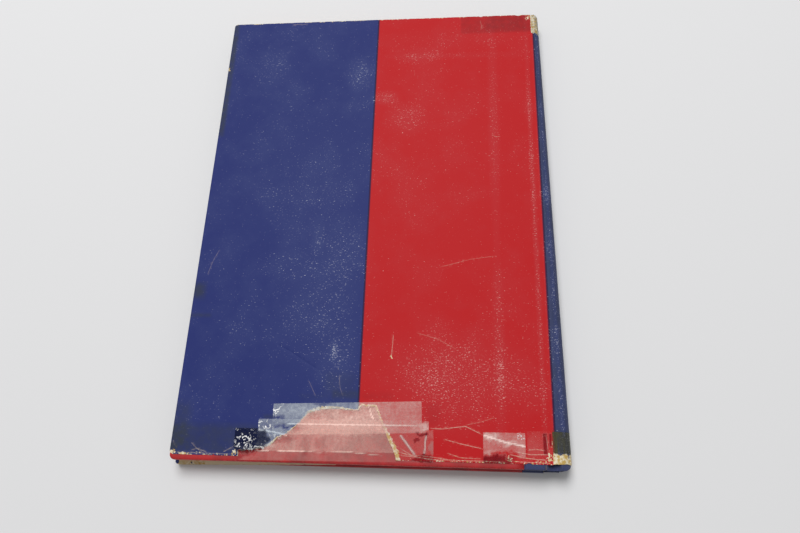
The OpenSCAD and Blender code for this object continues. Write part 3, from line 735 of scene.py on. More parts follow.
def paintPanel(x, y):
    # Wear of the back panel as numbers at its mesh points
    rub, grime = np.zeros(len(x)), np.zeros(len(x))
    for cx, cy, rx, ry, strength in wear["rubSpots"]:
        rub += softSpot(x, y, (cx, cy, rx, ry)) * strength
    for x0, x1, y0, y1, soft, strength in wear["grimeBoxes"]:
        grime += softBox(x, y, (x0, x1, y0, y1), soft) * strength
    bare = np.zeros(len(x))
    for cx, cy, rx, ry, strength in wear["bareSpots"]:
        bare = np.maximum(bare, softSpot(x, y, (cx, cy, rx, ry)) * strength * 0.6)
    return rub, grime, bare


def swell(x, y, seed):
    rise = jacket["swell"] * (0.5 + 0.5 * waves(x, y, 60, seed)) * np.clip(x / 25, 0, 1)
    return rise * np.clip((book["width"] - x) / 12, 0, 1)


def tearLift(x, y, away):
    # The torn paper stands up within 5 mm of the tear
    return np.clip(1 - away / 5, 0, 1) ** 2 * (0.25 + 0.35 * waves(x, y, 9, 6.0))


def jacketPanel(name, back):
    height = book["height"]
    seed = 1.0 if back else 11.0
    step = jacket["edgeStep"]
    frontDrop = (frontLow.y - backLow.y) / mm
    edgeU = np.arange(flapEnd, book["width"], step)
    edgeU = np.unique(np.concatenate([edgeU, np.linspace(-4.5, 2.5, 29), [book["width"]]]))

    def slope(u):
        return 0 if back else frontDrop * (1 - foldPath([u])[0][0] / book["width"])

    tail = np.array([(u, panelEnd(u, slope(u), seed, jacket["tailNotches"])) for u in edgeU])
    head = np.array([(u, panelEnd(u, height, seed + 20, jacket["headNotches"])) for u in edgeU[::-1]])
    torn = tornLine()
    ribs, rings = [], []
    if back:
        left, right = tail[tail[:, 0] < torn[0, 0] - 0.3], tail[tail[:, 0] > torn[-1, 0] + 0.3]
        tail = np.vstack([left, torn[:, :2], right])
        for away in jacket["tearRings"]:
            ring = torn[:, :2] + away * sideways(torn[:, :2])
            rings.append(ring[(ring[:, 1] > 0.4) & (nearest(ring, torn)[0] > away - 0.12)])
        for width, white, bared, lift, line in creases:
            middle = along(line, jacket["creaseStep"])
            wander = np.array([(wave(*p, 1.5, 2.0), wave(*p, 1.5, 4.0)) for p in middle[1:-1]])
            middle[1:-1] += jacket["creaseWander"] * wander
            side = sideways(middle) * width
            ribs += [rib for rib in (middle, (middle + side)[1:-1], (middle - side)[1:-1]) if len(rib) > 1]
    sides = np.arange(step, height - step, step)
    atHinge = np.array([(book["width"], y) for y in sides if y < height - 1])
    atFlap = np.array([(flapEnd, y) for y in sides[::-1] if slope(flapEnd) + 1 < y < height - 1])
    loop = np.vstack([tail, atHinge, head, atFlap])
    printEnd = jacket["printEnd"]
    gridX = np.concatenate([np.arange(flapEnd + 6, -8, 8.0), [printEnd - 0.5, printEnd + 0.1],
                            np.linspace(*jacket["foldColumns"]),
                            np.arange(2.6, book["width"] - 0.8, jacket["step"] / 2)])
    gridY = np.arange(1.2 + (0 if back else frontDrop), height - 0.6, jacket["step"])
    if back:
        gridY = np.concatenate([np.arange(0.7, 19, jacket["fineStep"]), gridY[gridY > 20]])
    flat, faces = triangulate(loop, gridX, gridY, ribs, jacket["clear"], rings)
    x, d, nx, nd = foldPath(flat[:, 0])
    y = flat[:, 1]
    onPanel = flat[:, 0] > 0
    rise = np.where(onPanel, swell(x, y, seed), 0)
    attributes = {key: np.zeros(len(flat)) for key in ("core", "crease", "rub", "grime")}
    edge = np.minimum(y - np.interp(flat[:, 0], edgeU, [slope(u) for u in edgeU]), height - y)
    attributes["core"] = np.clip(0.95 - edge / 1.1, 0, 0.62) * (0.75 + 0.5 * waves(flat[:, 0], y, 6, 9.0))
    if back:
        away, share = nearest(flat, torn)
        wide = np.interp(share, np.linspace(0, 1, len(torn)), torn[:, 2])
        attributes["core"] = np.maximum(attributes["core"], np.clip(1.4 - away / wide, 0, 1) * onPanel)
        rise += tearLift(x, y, away) * onPanel
        attributes["rub"], attributes["grime"], bare = paintPanel(flat[:, 0], y)
        for width, white, bared, lift, line in creases:
            away, share = nearest(flat, line)
            close = np.clip(1 - away / width, 0, 1) * np.clip(9 * np.minimum(share, 1 - share), 0, 1) * onPanel
            attributes["crease"] = np.maximum(attributes["crease"], close * white)
            bare = np.maximum(bare, close * bared)
            rise += close * lift
        attributes["core"] = np.maximum(attributes["core"], bare)
    else:
        attributes["grime"] = softBox(flat[:, 0], y, (-9, 4, -5, 290), 2) * 0.4
    onFlap = flat[:, 0] < printEnd
    scraps = softBox(x, y, (2, 20, frontDrop - 1, frontDrop + 5), 2) * np.clip(0.5 + 2.5 * waves(x, y, 4, 3.0), 0, 1)
    attributes["core"] = np.where(onFlap, 2.0 - scraps * (2.0 if not back else 0), attributes["core"])
    attributes["grime"] = np.where(onFlap, scraps, attributes["grime"])
    d = d - rise
    outer = np.stack([x, y, book["top"] - d], 1)
    inner = outer + jacket["paper"] * np.stack([-nx, np.zeros(len(x)), nd], 1)
    if not back:
        outer[:, 2] = np.maximum(book["top"] - outer[:, 2], 0)
        inner[:, 2] = np.maximum(book["top"] - inner[:, 2], jacket["paper"])
        faces = faces[:, ::-1]
    points, allFaces, slots = doubled(faces, outer, inner)
    attributes = {k: np.concatenate([v, np.zeros(len(flat))]) for k, v in attributes.items()}
    return meshPiece(name, points, allFaces, [printedPaper, corePaper], slots, attributes)


jacketBack = jacketPanel("jacketBackPanel", True)
jacketFront = jacketPanel("jacketFrontPanel", False)
print("jacket panels:", len(jacketBack.data.polygons), len(jacketFront.data.polygons))

# The spine: jacket, cloth and card round the back of the pages

spine = {"radius": 6.66, "steps": 44, "rowStep": 2.4, "endStep": 0.8}


def spinePath(inset, share, start=0.0):
    # A point on the spine's outline, from the upper hinge (share 0) to the lower (share 1)
    r = spine["radius"] - inset
    cx, half = book["spineOut"] - spine["radius"], book["top"] / 2
    reach = half - inset
    flatEnd = cx + math.sqrt(max(r * r - reach * reach, 0))
    flat = max(flatEnd - book["width"] - start, 0)
    opening = math.asin(min(reach / r, 1))
    arc = 2 * opening * r
    s = share * (2 * flat + arc)
    if s < flat:
        return book["width"] + start + s, half + reach, 0.0, 1.0
    if s > flat + arc:
        return flatEnd - (s - flat - arc), half - reach, 0.0, -1.0
    a = opening - (s - flat) / r
    return cx + r * math.cos(a), half + r * math.sin(a), math.cos(a), math.sin(a)


def jacketSpinePiece():
    height = book["height"]
    shares = np.linspace(0, 1, spine["steps"] + 1)
    section = np.array([spinePath(0, s) for s in shares])
    length = np.concatenate([[0], np.cumsum(np.linalg.norm(np.diff(section[:, [0, 1]], axis=0), axis=1))])
    fine = np.arange(0, length[-1], 0.7)
    tail = [(s, 0.25 + 0.35 * abs(wave(s, 0, 1.6, 31.0)) + 0.5 * max(0, wave(s, 0, 4, 33.0))) for s in fine[1:]]
    head = [(s, height - 0.2 - 0.4 * abs(wave(s, 0, 1.4, 35.0)) - 0.5 * max(0, wave(s, 0, 5, 37.0)))
            for s in fine[:0:-1]]
    sides = np.arange(0.2, height - 0.2, 2.0)
    loop = np.array([(0, 0.2)] + tail + [(length[-1], y) for y in sides] + head + [(0, y) for y in sides[:0:-1]])
    fineRow = spine["endStep"]
    gridY = np.concatenate([np.arange(1, 8, fineRow), np.arange(9, 272, spine["rowStep"]),
                            np.arange(272.5, height - 0.6, fineRow)])
    flat, faces = triangulate(loop, length[1:-1], gridY, (), 0.4)
    x, z, nx, nz = [np.interp(flat[:, 0], length, section[:, i]) for i in range(4)]
    outer = np.stack([x, flat[:, 1], z], 1)
    inner = outer - jacket["paper"] * np.stack([nx, np.zeros(len(x)), nz], 1)
    points, allFaces, slots = doubled(faces, outer, inner)
    y = flat[:, 1]
    torn = np.clip(2.6 - y / 2.6, 0, 1.1) * (0.9 + 0.45 * waves(flat[:, 0], y, 2.0, 5.0))
    tornHead = softBox(flat[:, 0], y, (-1, 9, 264, 299), 1.5) * (0.78 + 0.2 * waves(flat[:, 0], y * 0.3, 2.0, 6.0))
    tornHead = np.maximum(tornHead, np.clip(1.3 - (height - y) / 3.0, 0, 0.75))
    grime = softBox(flat[:, 0], y, (-1, 40, 3, 17), 0.8) * 0.3
    rub = softBox(flat[:, 0], y, (3.0, 6.5, -5, 290), 1.5) * 0.6 + 0.3 * (1 + waves(flat[:, 0], y, 12, 4.0))
    attributes = {"core": np.maximum(torn, tornHead), "grime": grime, "rub": rub}
    attributes = {key: np.concatenate([values, np.zeros(len(x))]) for key, values in attributes.items()}
    return meshPiece("jacketSpine", points, allFaces, [printedPaper, corePaper], slots, attributes)


jacketSpine = jacketSpinePiece()
print("jacket spine:", len(jacketSpine.data.polygons))

# The case: cloth and side paper wrapped round the boards

case = {
    "cloth": 0.4,
    "paper": 0.2,
    "boardX": 0.5,
    "clothX": 183.5,
    "boardEnd": 194.5,
    "turnIn": 14.0,
    "boardRadius": 2.5,
    "edgeRadius": 0.9,
    "clothTop": 0.2,  # depths under the outside of the jacket
    "paperTop": 0.4,
    "pastedown": 3.4,
    "spineIn": 0.3,
    "spineWrap": 1.5,
    "spineCorner": 3.0,
    "slip": 0.9,  # the front cover has slipped towards the tail
    "spineRadius": 0.55,
    "jointRadius": 0.2,
    "jointTurnIn": 3.0,
    "jointSpare": 0.1,
    "rows": 70,
}
caseLow, caseHigh = [corner[1] for corner in bookBox("back_quarter_cloth")]


def wrapProfile(deep, turnIn, radius):
    # How a covering goes from the outside of a board round its edge to its inside, as inset and depth pairs
    corner = [(radius - radius * math.sin(a), radius - radius * math.cos(a)) for a in np.linspace(0, math.pi / 2, 6)]
    pairs = [(radius + 1.2, 0.0)] + corner
    pairs += [(inset, deep - depth) for inset, depth in corner[::-1]]
    return pairs + [(turnIn * 0.5, deep), (turnIn, deep)]


def spineEnd(x):
    # How far the cloth's rounded corners draw back over the ends of the spine
    r = case["spineCorner"]
    past = max(0.0, min(r, x - (book["spineOut"] - case["spineIn"] - r)))
    return r - math.sqrt(r * r - past * past)


def wrappedCloth(name, section, deep, radius, turnIn, slip=0.0):
    # Cloth with a cross-section of x, z and outward normal, wrapped over at both ends of its height
    profile = wrapProfile(deep, turnIn, radius)
    start = profile[0][0]
    x, z, nx, nz = np.array(section).T
    drawn = np.array([spineEnd(value) for value in x])
    low, high = caseLow - slip + drawn, caseHigh - slip - drawn
    rows = [(low + inset, depth) for inset, depth in profile[::-1]]
    rows += [(low + start + t * (high - low - start - start), 0.0) for t in np.linspace(0, 1, case["rows"])[1:-1]]
    rows += [(high - inset, depth) for inset, depth in profile]
    outer = np.array([np.stack([x - nx * depth, y, z - nz * depth], -1) for y, depth in rows])
    piece = meshPiece(name, outer.reshape(-1, 3), gridFaces(len(rows), len(section)), [cloth])
    thicken(piece, case["cloth"])
    return piece


def thicken(piece, thickness):
    solid = piece.modifiers.new("thickness", "SOLIDIFY")
    solid.thickness, solid.offset = thickness * mm, -1
    solid.use_even_offset = True
    bakeModifiers(piece)


def bakeModifiers(piece):
    view = bpy.context.evaluated_depsgraph_get()
    mesh = bpy.data.meshes.new_from_object(piece.evaluated_get(view))
    piece.modifiers.clear()
    old, piece.data = piece.data, mesh
    bpy.data.meshes.remove(old)


def mirrored(section):
    # The same cross-section on the front cover, run the other way so that it still faces outwards
    return [(x, book["top"] - z, nx, -nz) for x, z, nx, nz in section[::-1]]


def boardCloth(name, back):
    top = book["top"] - case["clothTop"]
    section = [(x, top, 0.0, 1.0) for x in np.linspace(case["clothX"], case["boardEnd"] - case["cloth"], 8)]
    return wrappedCloth(name, section if back else mirrored(section), case["pastedown"] - case["clothTop"],
                        case["edgeRadius"], case["turnIn"], 0 if back else case["slip"])


def jointCloth(name, back):
    # The cloth sunk in the joint: half a tube round the hinge line
    radius = case["pastedown"] - case["cloth"]
    section = []
    for a in np.linspace(0.03, math.pi - 0.1, 22):
        nx, nz = math.cos(a), math.sin(a)
        section.append((book["width"] - radius * nx, book["top"] - radius * nz, nx, nz))
    return wrappedCloth(name, section if back else mirrored(section), case["cloth"] + case["jointSpare"],
                        case["jointRadius"], case["jointTurnIn"], 0 if back else case["slip"] / 2)


def spineCloth():
    start = math.sqrt((case["pastedown"] - case["cloth"]) ** 2 - case["spineIn"] ** 2)
    section = [spinePath(case["spineIn"], s, start) for s in np.linspace(0, 1, 40)]
    return wrappedCloth("spineCloth", section, case["spineWrap"], case["spineRadius"], case["turnIn"])


def boardLoop(inset, steps=8):
    # The side paper's outline, from the cloth at the tail round both fore-edge corners to the cloth at the head
    grow = case["paper"]
    x0 = case["boardX"] - grow + inset
    y0, y1 = caseLow + case["cloth"] - grow + inset, caseHigh - case["cloth"] + grow - inset
    r = max(case["boardRadius"] + grow - inset, 0.3)
    xs = np.linspace(case["clothX"] + 0.6, x0 + r, 40)
    tail = [(x, y0) for x in xs]
    turn = np.linspace(0, math.pi / 2, steps)
    tail += [(x0 + r - r * math.sin(a), y0 + r - r * math.cos(a)) for a in turn[1:]]
    head = [(x, y1) for x in xs]
    head += [(x0 + r - r * math.sin(a), y1 - r + r * math.cos(a)) for a in turn[1:]]
    sides = [(x0, y0 + r + (y1 - y0 - 2 * r) * t) for t in np.linspace(0, 1, 42)[1:-1]]
    return tail + sides + head[::-1]


def sidePaperPiece(name, back):
    deep = case["pastedown"] - case["paperTop"] - case["paper"]
    profile = wrapProfile(deep, case["turnIn"], case["edgeRadius"])
    slip = 0 if back else case["slip"]
    loops = [[(x, y - slip, case["paperTop"] + depth) for x, y in boardLoop(inset)] for inset, depth in profile]
    count = len(loops[0])
    points = [p for loop in loops for p in loop]
    faces = [(a, d, c, b) for a, b, c, d in gridFaces(len(loops), count)]
    steps = next(i for i, p in enumerate(loops[0]) if p[0] == loops[0][count // 2][0]) - 1
    faces += [(i, i + 1, count - 2 - i, count - 1 - i) for i in range(steps)] + [tuple(range(steps, count - steps))]
    # rub: the rounded edge, painted paler for wear and as a highlight
    rub = np.repeat([max(0.0, 1 - abs(inset - 0.2) / 0.8) * max(0.0, 1 - abs(depth - 0.3) / 1.2)
                     for inset, depth in profile], count)
    flip = [(x, y, book["top"] - z if back else z) for x, y, z in points]
    if not back:
        faces = [f[::-1] for f in faces]
    piece = meshPiece(name, flip, faces, [sidePaper], None, {"rub": rub})
    thicken(piece, case["paper"])
    return piece


sidePaperBack = sidePaperPiece("sidePaperBack", True)
sidePaperFront = sidePaperPiece("sidePaperFront", False)
boardClothBack = boardCloth("boardClothBack", True)
boardClothFront = boardCloth("boardClothFront", False)
jointClothBack = jointCloth("jointClothBack", True)
jointClothFront = jointCloth("jointClothFront", False)
clothOfSpine = spineCloth()
print("case coverings made")


def leaningCopy(node, name, material):
    # A hidden piece of the spine, leaning with the rest of it
    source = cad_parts[node]
    mesh = source.data.copy()
    mesh.name = name
    for vertex in mesh.vertices:
        vertex.co = toMetres([toBook(vertex.co)])[0]
    mesh.materials.clear()
    mesh.materials.append(material)
    piece = bpy.data.objects.new(name, mesh)
    scene.collection.objects.link(piece)
    return piece


stiffener = leaningCopy("spine_stiffener", "spineStiffener", spineCard)
lining = leaningCopy("spine_lining", "spineLining", gauze)

# Endpapers: the pastedown bends round the joint to the first leaf

leaf = {"paper": 0.15, "depth": 3.9, "fold": 3.0, "pastHinge": 3.2, "rows": 60}
pageLow, pageHigh = bookBox("text_block")


def sheetPiece(name, line, low, high, back):
    # A plain sheet from its outer line of x and depth, facing the outside of the book
    points = [(x, y, book["top"] - d if back else d) for y in np.linspace(low, high, leaf["rows"]) for x, d in line]
    faces = [f if back else f[::-1] for f in gridFaces(leaf["rows"], len(line))]
    piece = meshPiece(name, points, faces, [endpaper])
    thicken(piece, leaf["paper"])
    return piece


def pastedown(name, back):
    low, high = bookBox("back_pastedown" if back else "front_pastedown")
    xs = list(np.linspace(low[0], book["width"] - 4, 26)) + list(np.linspace(book["width"] - 3.5, book["width"], 12))
    line = [(x, case["pastedown"]) for x in xs]
    line += [(book["width"] + t * leaf["fold"], case["pastedown"] + 0.15 * t) for t in np.linspace(0, 1, 12)[1:]]
    return sheetPiece(name, line, low[1], high[1], back)


def flyleaf(name, back):
    line = [(x, leaf["depth"]) for x in np.linspace(pageLow[0], book["width"] + leaf["pastHinge"], 30)]
    return sheetPiece(name, line, pageLow[1], pageHigh[1], back)


pastedownBack, pastedownFront = pastedown("pastedownBack", True), pastedown("pastedownFront", False)
flyleafBack, flyleafFront = flyleaf("flyleafBack", True), flyleaf("flyleafFront", False)
print("endpapers made")

# Pages and headbands, by Geometry Nodes


def nodeTree(name, sizes):
    tree = bpy.data.node_groups.new(name, "GeometryNodeTree")
    tree.interface.new_socket("Geometry", in_out="INPUT", socket_type="NodeSocketGeometry")
    tree.interface.new_socket("Geometry", in_out="OUTPUT", socket_type="NodeSocketGeometry")
    for label, (kind, _) in sizes.items():
        tree.interface.new_socket(label, in_out="INPUT", socket_type="NodeSocket" + kind)
    return tree, tree.nodes.new("NodeGroupInput").outputs


def runTree(tree, name, sizes, instances, material):
    # Ends the tree, puts it on an object, sets its inputs by identifier, and keeps the result as a plain mesh
    real = add(tree, "GeometryNodeRealizeInstances", {0: instances})
    painted = add(tree, "GeometryNodeSetMaterial", {"Geometry": real, "Material": material})
    add(tree, "NodeGroupOutput", {0: painted})
    holder = bpy.data.objects.new(name, bpy.data.meshes.new(name))
    scene.collection.objects.link(holder)
    modifier = holder.modifiers.new(tree.name, "NODES")
    modifier.node_group = tree
    for item in tree.interface.items_tree:
        if item.in_out == "INPUT" and item.name in sizes:
            modifier[item.identifier] = sizes[item.name][1]
    bakeModifiers(holder)
    return holder, np.array([v.co for v in holder.data.vertices])


def placePoints(piece, at):
    piece.data.vertices.foreach_set("co", toMetres(at).ravel())
    piece.data.update()
    return piece


pages = {"leaves": 46, "leafThickness": 0.092, "round": 1.0, "uneven": 0.12, "seed": 7}


def makePages():
    size = pageHigh - pageLow
    thick, bowed, uneven = pages["leafThickness"], pages["round"], pages["uneven"]
    sizes = {
        "Leaves": ("Int", pages["leaves"]),
        "Leaf size": ("Vector", (size[0] - bowed * 2, size[1] - 2 * uneven, thick)),
        "Pitch": ("Float", (size[2] - thick) / (pages["leaves"] - 1)),
        "Round": ("Float", bowed),
        "Uneven": ("Float", uneven),
        "Seed": ("Int", pages["seed"]),
    }
    tree, given = nodeTree("leafStack", sizes)
    step = add(tree, "CombineXYZ", {"Z": given["Pitch"]})
    line = add(tree, "GeometryNodeMeshLine", {"Count": given["Leaves"], "Offset": step})
    index = add(tree, "GeometryNodeInputIndex")
    last = add(tree, "Math", {0: given["Leaves"], 1: 1.0}, operation="SUBTRACT")
    share = add(tree, "Math", {0: index, 1: last}, operation="DIVIDE")
    share = add(tree, "MapRange", {"Value": share, "To Min": -1.0, "To Max": 1.0})
    bow = add(tree, "Math", {0: share, 1: share}, operation="MULTIPLY")
    bow = add(tree, "Math", {0: 1.0, 1: bow}, operation="SUBTRACT")
    bow = add(tree, "Math", {0: bow, 1: given["Round"]}, operation="MULTIPLY")
    least = add(tree, "Math", {0: given["Uneven"], 1: -1.0}, operation="MULTIPLY")
    jitter = add(tree, "FunctionNodeRandomValue", {"Min": least, "Max": given["Uneven"], "Seed": given["Seed"]})
    across = add(tree, "Math", {0: bow, 1: jitter}, operation="ADD")
    shift = add(tree, "CombineXYZ", {"X": across, "Y": jitter})
    moved = add(tree, "GeometryNodeSetPosition", {"Geometry": line, "Offset": shift})
    leaf = add(tree, "GeometryNodeMeshCube", {"Size": given["Leaf size"], "Vertices X": 3, "Vertices Y": 12})
    placed = add(tree, "GeometryNodeInstanceOnPoints", {"Points": moved, "Instance": leaf})
    piece, at = runTree(tree, "pages", sizes, placed, pagePaper)
    middle = (pageLow + pageHigh) / 2
    return placePoints(piece, at + (middle[0] - bowed / 2, middle[1], pageLow[2] + thick / 2))


band = {"turns": 15, "thread": 0.19, "bead": 0.6, "inset": 0.8, "behind": 0.75, "bow": 0.7}


def makeBand(name, node):
    low, high = bookBox(node)
    length = pageHigh[2] - pageLow[2] - 2 * band["thread"]
    sizes = {"Turns": ("Int", band["turns"]), "Thread": ("Float", band["thread"]), "Bead": ("Float", band["bead"]),
             "Length": ("Float", length)}
    tree, given = nodeTree("woundBand", sizes)
    up = add(tree, "CombineXYZ", {"Z": given["Length"]})
    path = add(tree, "GeometryNodeCurvePrimitiveLine", {"End": up})
    points = add(tree, "GeometryNodeCurveToPoints", {"Curve": path, "Count": given["Turns"]}, out=None)
    ring = add(tree, "GeometryNodeCurvePrimitiveCircle", {"Resolution": 14, "Radius": given["Bead"]})
    wire = add(tree, "GeometryNodeCurvePrimitiveCircle", {"Resolution": 6, "Radius": given["Thread"]})
    hoop = add(tree, "GeometryNodeCurveToMesh", {"Curve": ring, "Profile Curve": wire})
    hoops = add(tree, "GeometryNodeInstanceOnPoints", {"Points": points.outputs["Points"], "Instance": hoop,
                                                       "Rotation": points.outputs["Rotation"]})
    piece, at = runTree(tree, name, sizes, hoops, cotton)
    y = high[1] - band["inset"] if node == "headband" else low[1] + band["inset"]
    bow = 1.0 - (at[:, 2] / length * 2 - 1) ** 2
    at += (pageHigh[0] - band["behind"], y, pageLow[2] + band["thread"])
    at[:, 0] += bow * band["bow"]
    return placePoints(piece, at)


textBlock = makePages()
headband = makeBand("headbandWound", "headband")
tailband = makeBand("tailbandWound", "tailband")
print("pages and headbands made")

# Repair tape: thin film laid over the tear and the worn ends of the spine

tapes = {
    # left end x, lower edge y, length, width, turn in degrees, layer
    "tapeUpper": ("tape_upper", 54.0, 11.0, 78.5, 16.0, 2.0, 0),
    "tapeMiddle": ("tape_middle", 46.5, 3.0, 89.5, 16.0, 0.5, 1),
    "tapeLower": ("tape_lower", 34.5, -2.0, 104.0, 16.0, 0.75, 2),
    "tapeShort": ("tape_short", 163.5, 0.0, 21.0, 15.0, 0.0, 0),
    "tapeTailBack": ("tail_tape_back", 185.4, 1.0, 12.4, 15.0, 0.0, 0),
    "tapeHeadBack": ("head_tape_back", 185.4, 264.9, 12.4, 15.0, 0.0, 0),
}
tapeSet = {
    "step": 0.6,
    "film": 0.05,
    "above": 0.075,  # the film's top over the jacket
    "lift": 0.09,  # from one layer of tape to the next
    "wrinkle": 0.10,
    "sink": 0.22,
    "raggedEnd": 0.12,
    "pinkOnRed": 0.82,
    "flatEnd": (7, 3),  # lies flat from so far before the hinge line, where the opened cover meets the spine
    "tailEnd": (3.6, 1.2),  # clear from so far above the jacket's tail down
    "spineShares": (0.005, 0.86),  # the part of the spine's outline that the end tapes cover
    "spineCrumple": 0.05,
    "yellow": {"tail_tape_spine": 1.0, "head_tape_spine": 0.35},
    # Milk over the blue field, over the red field and over the tear
    "milk": {"tapeUpper": (0.36, 0.31, 0.60), "tapeMiddle": (0.26, 0.04, 0.25), "tapeLower": (0.15, 0.0, 0.20),
             "tapeShort": (0, 0.22, 0), "tapeTailBack": (0, 0.02, 0), "tapeHeadBack": (0, 0, 0)},
}
# Marks in the film as soft spots of centre x, y, half width, half height and strength
milky = {
    "tapeUpper": [(66, 24, 10, 4, 0.2), (61, 16.4, 8, 1.8, -0.7), (66, 14, 7, 1.3, -0.6), (56, 19.5, 4, 1.2, -0.4),
                  (80, 27.5, 5, 2, -0.3)],
    "tapeMiddle": [(60, 9, 7, 1.5, -0.5), (59, 12.4, 7, 1.2, -0.5), (62, 15.4, 7, 1.0, -0.3), (90, 18, 28, 5, 0.4),
                   (134, 16.6, 4, 2.4, 0.6)],
    "tapeLower": [(38, 8, 8, 8, -0.9), (48, 8.5, 5, 4, -0.4), (49, 9, 5, 1.6, 0.5), (51, 5.6, 5, 1.2, 0.5),
                  (88, 12.6, 24, 1.4, 0.2), (130, 7, 9, 7, 0.08), (138, 8, 2, 8, 0.3)],
    "tapeShort": [(168.5, 12.8, 5.0, 1.8, 0.5), (176, 9.8, 7, 1.2, 0.4), (168, 5.4, 5, 1.2, 0.3),
                  (172, 1.0, 9, 4.5, -0.9), (180, 13, 5, 2.0, 0.15)],
    "tapeTailBack": [(189, 9, 5, 7, 0.05)],
}
held = {
    "tapeLower": [(40, 9, 8.5, 6.5, 0.95), (129, 10.2, 2.6, 1.0, 0.4), (132.5, 13.0, 3.6, 1.0, 0.4),
                  (134, 1.0, 6, 2.0, 0.4), (122, 6, 26, 9, 0.12), (72.3, 6.5, 2.0, 4.5, 0.14),
                  (81.0, 6.5, 2.2, 4.5, 0.14), (47.5, 8.5, 4.5, 4.5, 0.8)],
    "tapeShort": [(169, 1.0, 7, 3.0, 0.5)],
}
# Where the film is crumpled: it wrinkles there, and white painted highlights are drawn on the wrinkles
glints = {
    "tapeUpper": [(56.2, 23.5, 3.4, 5.5, 1.0), (100, 20, 60, 9, 0.16)],
    "tapeMiddle": [(50.5, 15.8, 6.0, 4.5, 1.0), (56, 10.5, 7, 3.5, 0.7), (110, 10, 60, 9, 0.14)],
    "tapeLower": [(39.5, 8, 7.5, 7.5, 1.0), (48, 4.6, 8, 3, 0.8), (90, 6, 70, 9, 0.12)],
    "tapeShort": [(182.5, 13, 2.6, 2.4, 0.8), (174, 8, 12, 8, 0.18)],
}
heldBlocks = [(193.0, 195.6, 4.5, 15.4), (196.1, 198.0, 8.6, 15.4)]  # dark blocks in the tape at the tail
# The creases are drawn as milk: whitened film, with painted highlights along the creases
tapeLines = [  # bright creases in the film: the strip, half width, and the line
    ("tapeLower", 0.35, [(36.0, 4.4), (44.0, 3.4), (53.0, 3.0)]),
    ("tapeLower", 0.40, [(121.6, 12.2), (125.5, 7.4), (129.5, 2.4)]),
    ("tapeLower", 0.30, [(134.6, 13.5), (134.2, 8.0), (133.6, 1.0)]),
    ("tapeLower", 0.22, [(58.0, 3.2), (80.0, 3.0), (96.0, 3.4), (112.0, 2.2)]),
    ("tapeMiddle", 0.35, [(47.0, 13.4), (54.0, 12.6), (62.0, 11.0)]),
    ("tapeMiddle", 0.22, [(62.0, 16.6), (90.0, 17.0), (130.0, 17.6)]),
    ("tapeUpper", 0.25, [(104.5, 26.5), (106.0, 22.0), (108.0, 19.0)]),
    ("tapeShort", 0.40, [(164.2, 13.4), (174.8, 10.2), (184.2, 8.5)]),
]
tornArea = np.array([(x, y) for x, y, w in tear] + [(119.9, -4), (37.1, -4)])


def surfaceUnder(x, y):
    # Height over the top of the flat jacket: the film sinks into the tear and off the jacket's tail
    flat = np.stack([x, y], 1)
    out, hole = nearest(flat, tornArea)[0], inside(flat, tornArea)
    sunk = np.where(hole, np.clip(out / 2.5, 0, 1), 0)
    tailOff = np.clip(-y / 0.8, 0, 1)
    rise = swell(np.clip(x, 0, book["width"]), y, 1.0)
    away = nearest(flat, [p[:2] for p in tear])[0]
    rise += tearLift(x, y, away)
    return rise * (1 - sunk) * (1 - tailOff) - tapeSet["sink"] * np.maximum(sunk, tailOff)


def filmPiece(name, node, outer, normal, rows, attributes):
    # Closes a grid of points to a thin film
    quads = np.array(gridFaces(rows, len(outer) // rows))
    faces = np.vstack([quads[:, :3], quads[:, [0, 2, 3]]])
    points, allFaces, _ = doubled(faces, outer, outer - normal * tapeSet["film"])
    attributes = {key: np.tile(values, 2) for key, values in attributes.items()}
    piece = meshPiece(name, points, allFaces, [tapeFilm], None, attributes)
    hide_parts(node)
    return piece


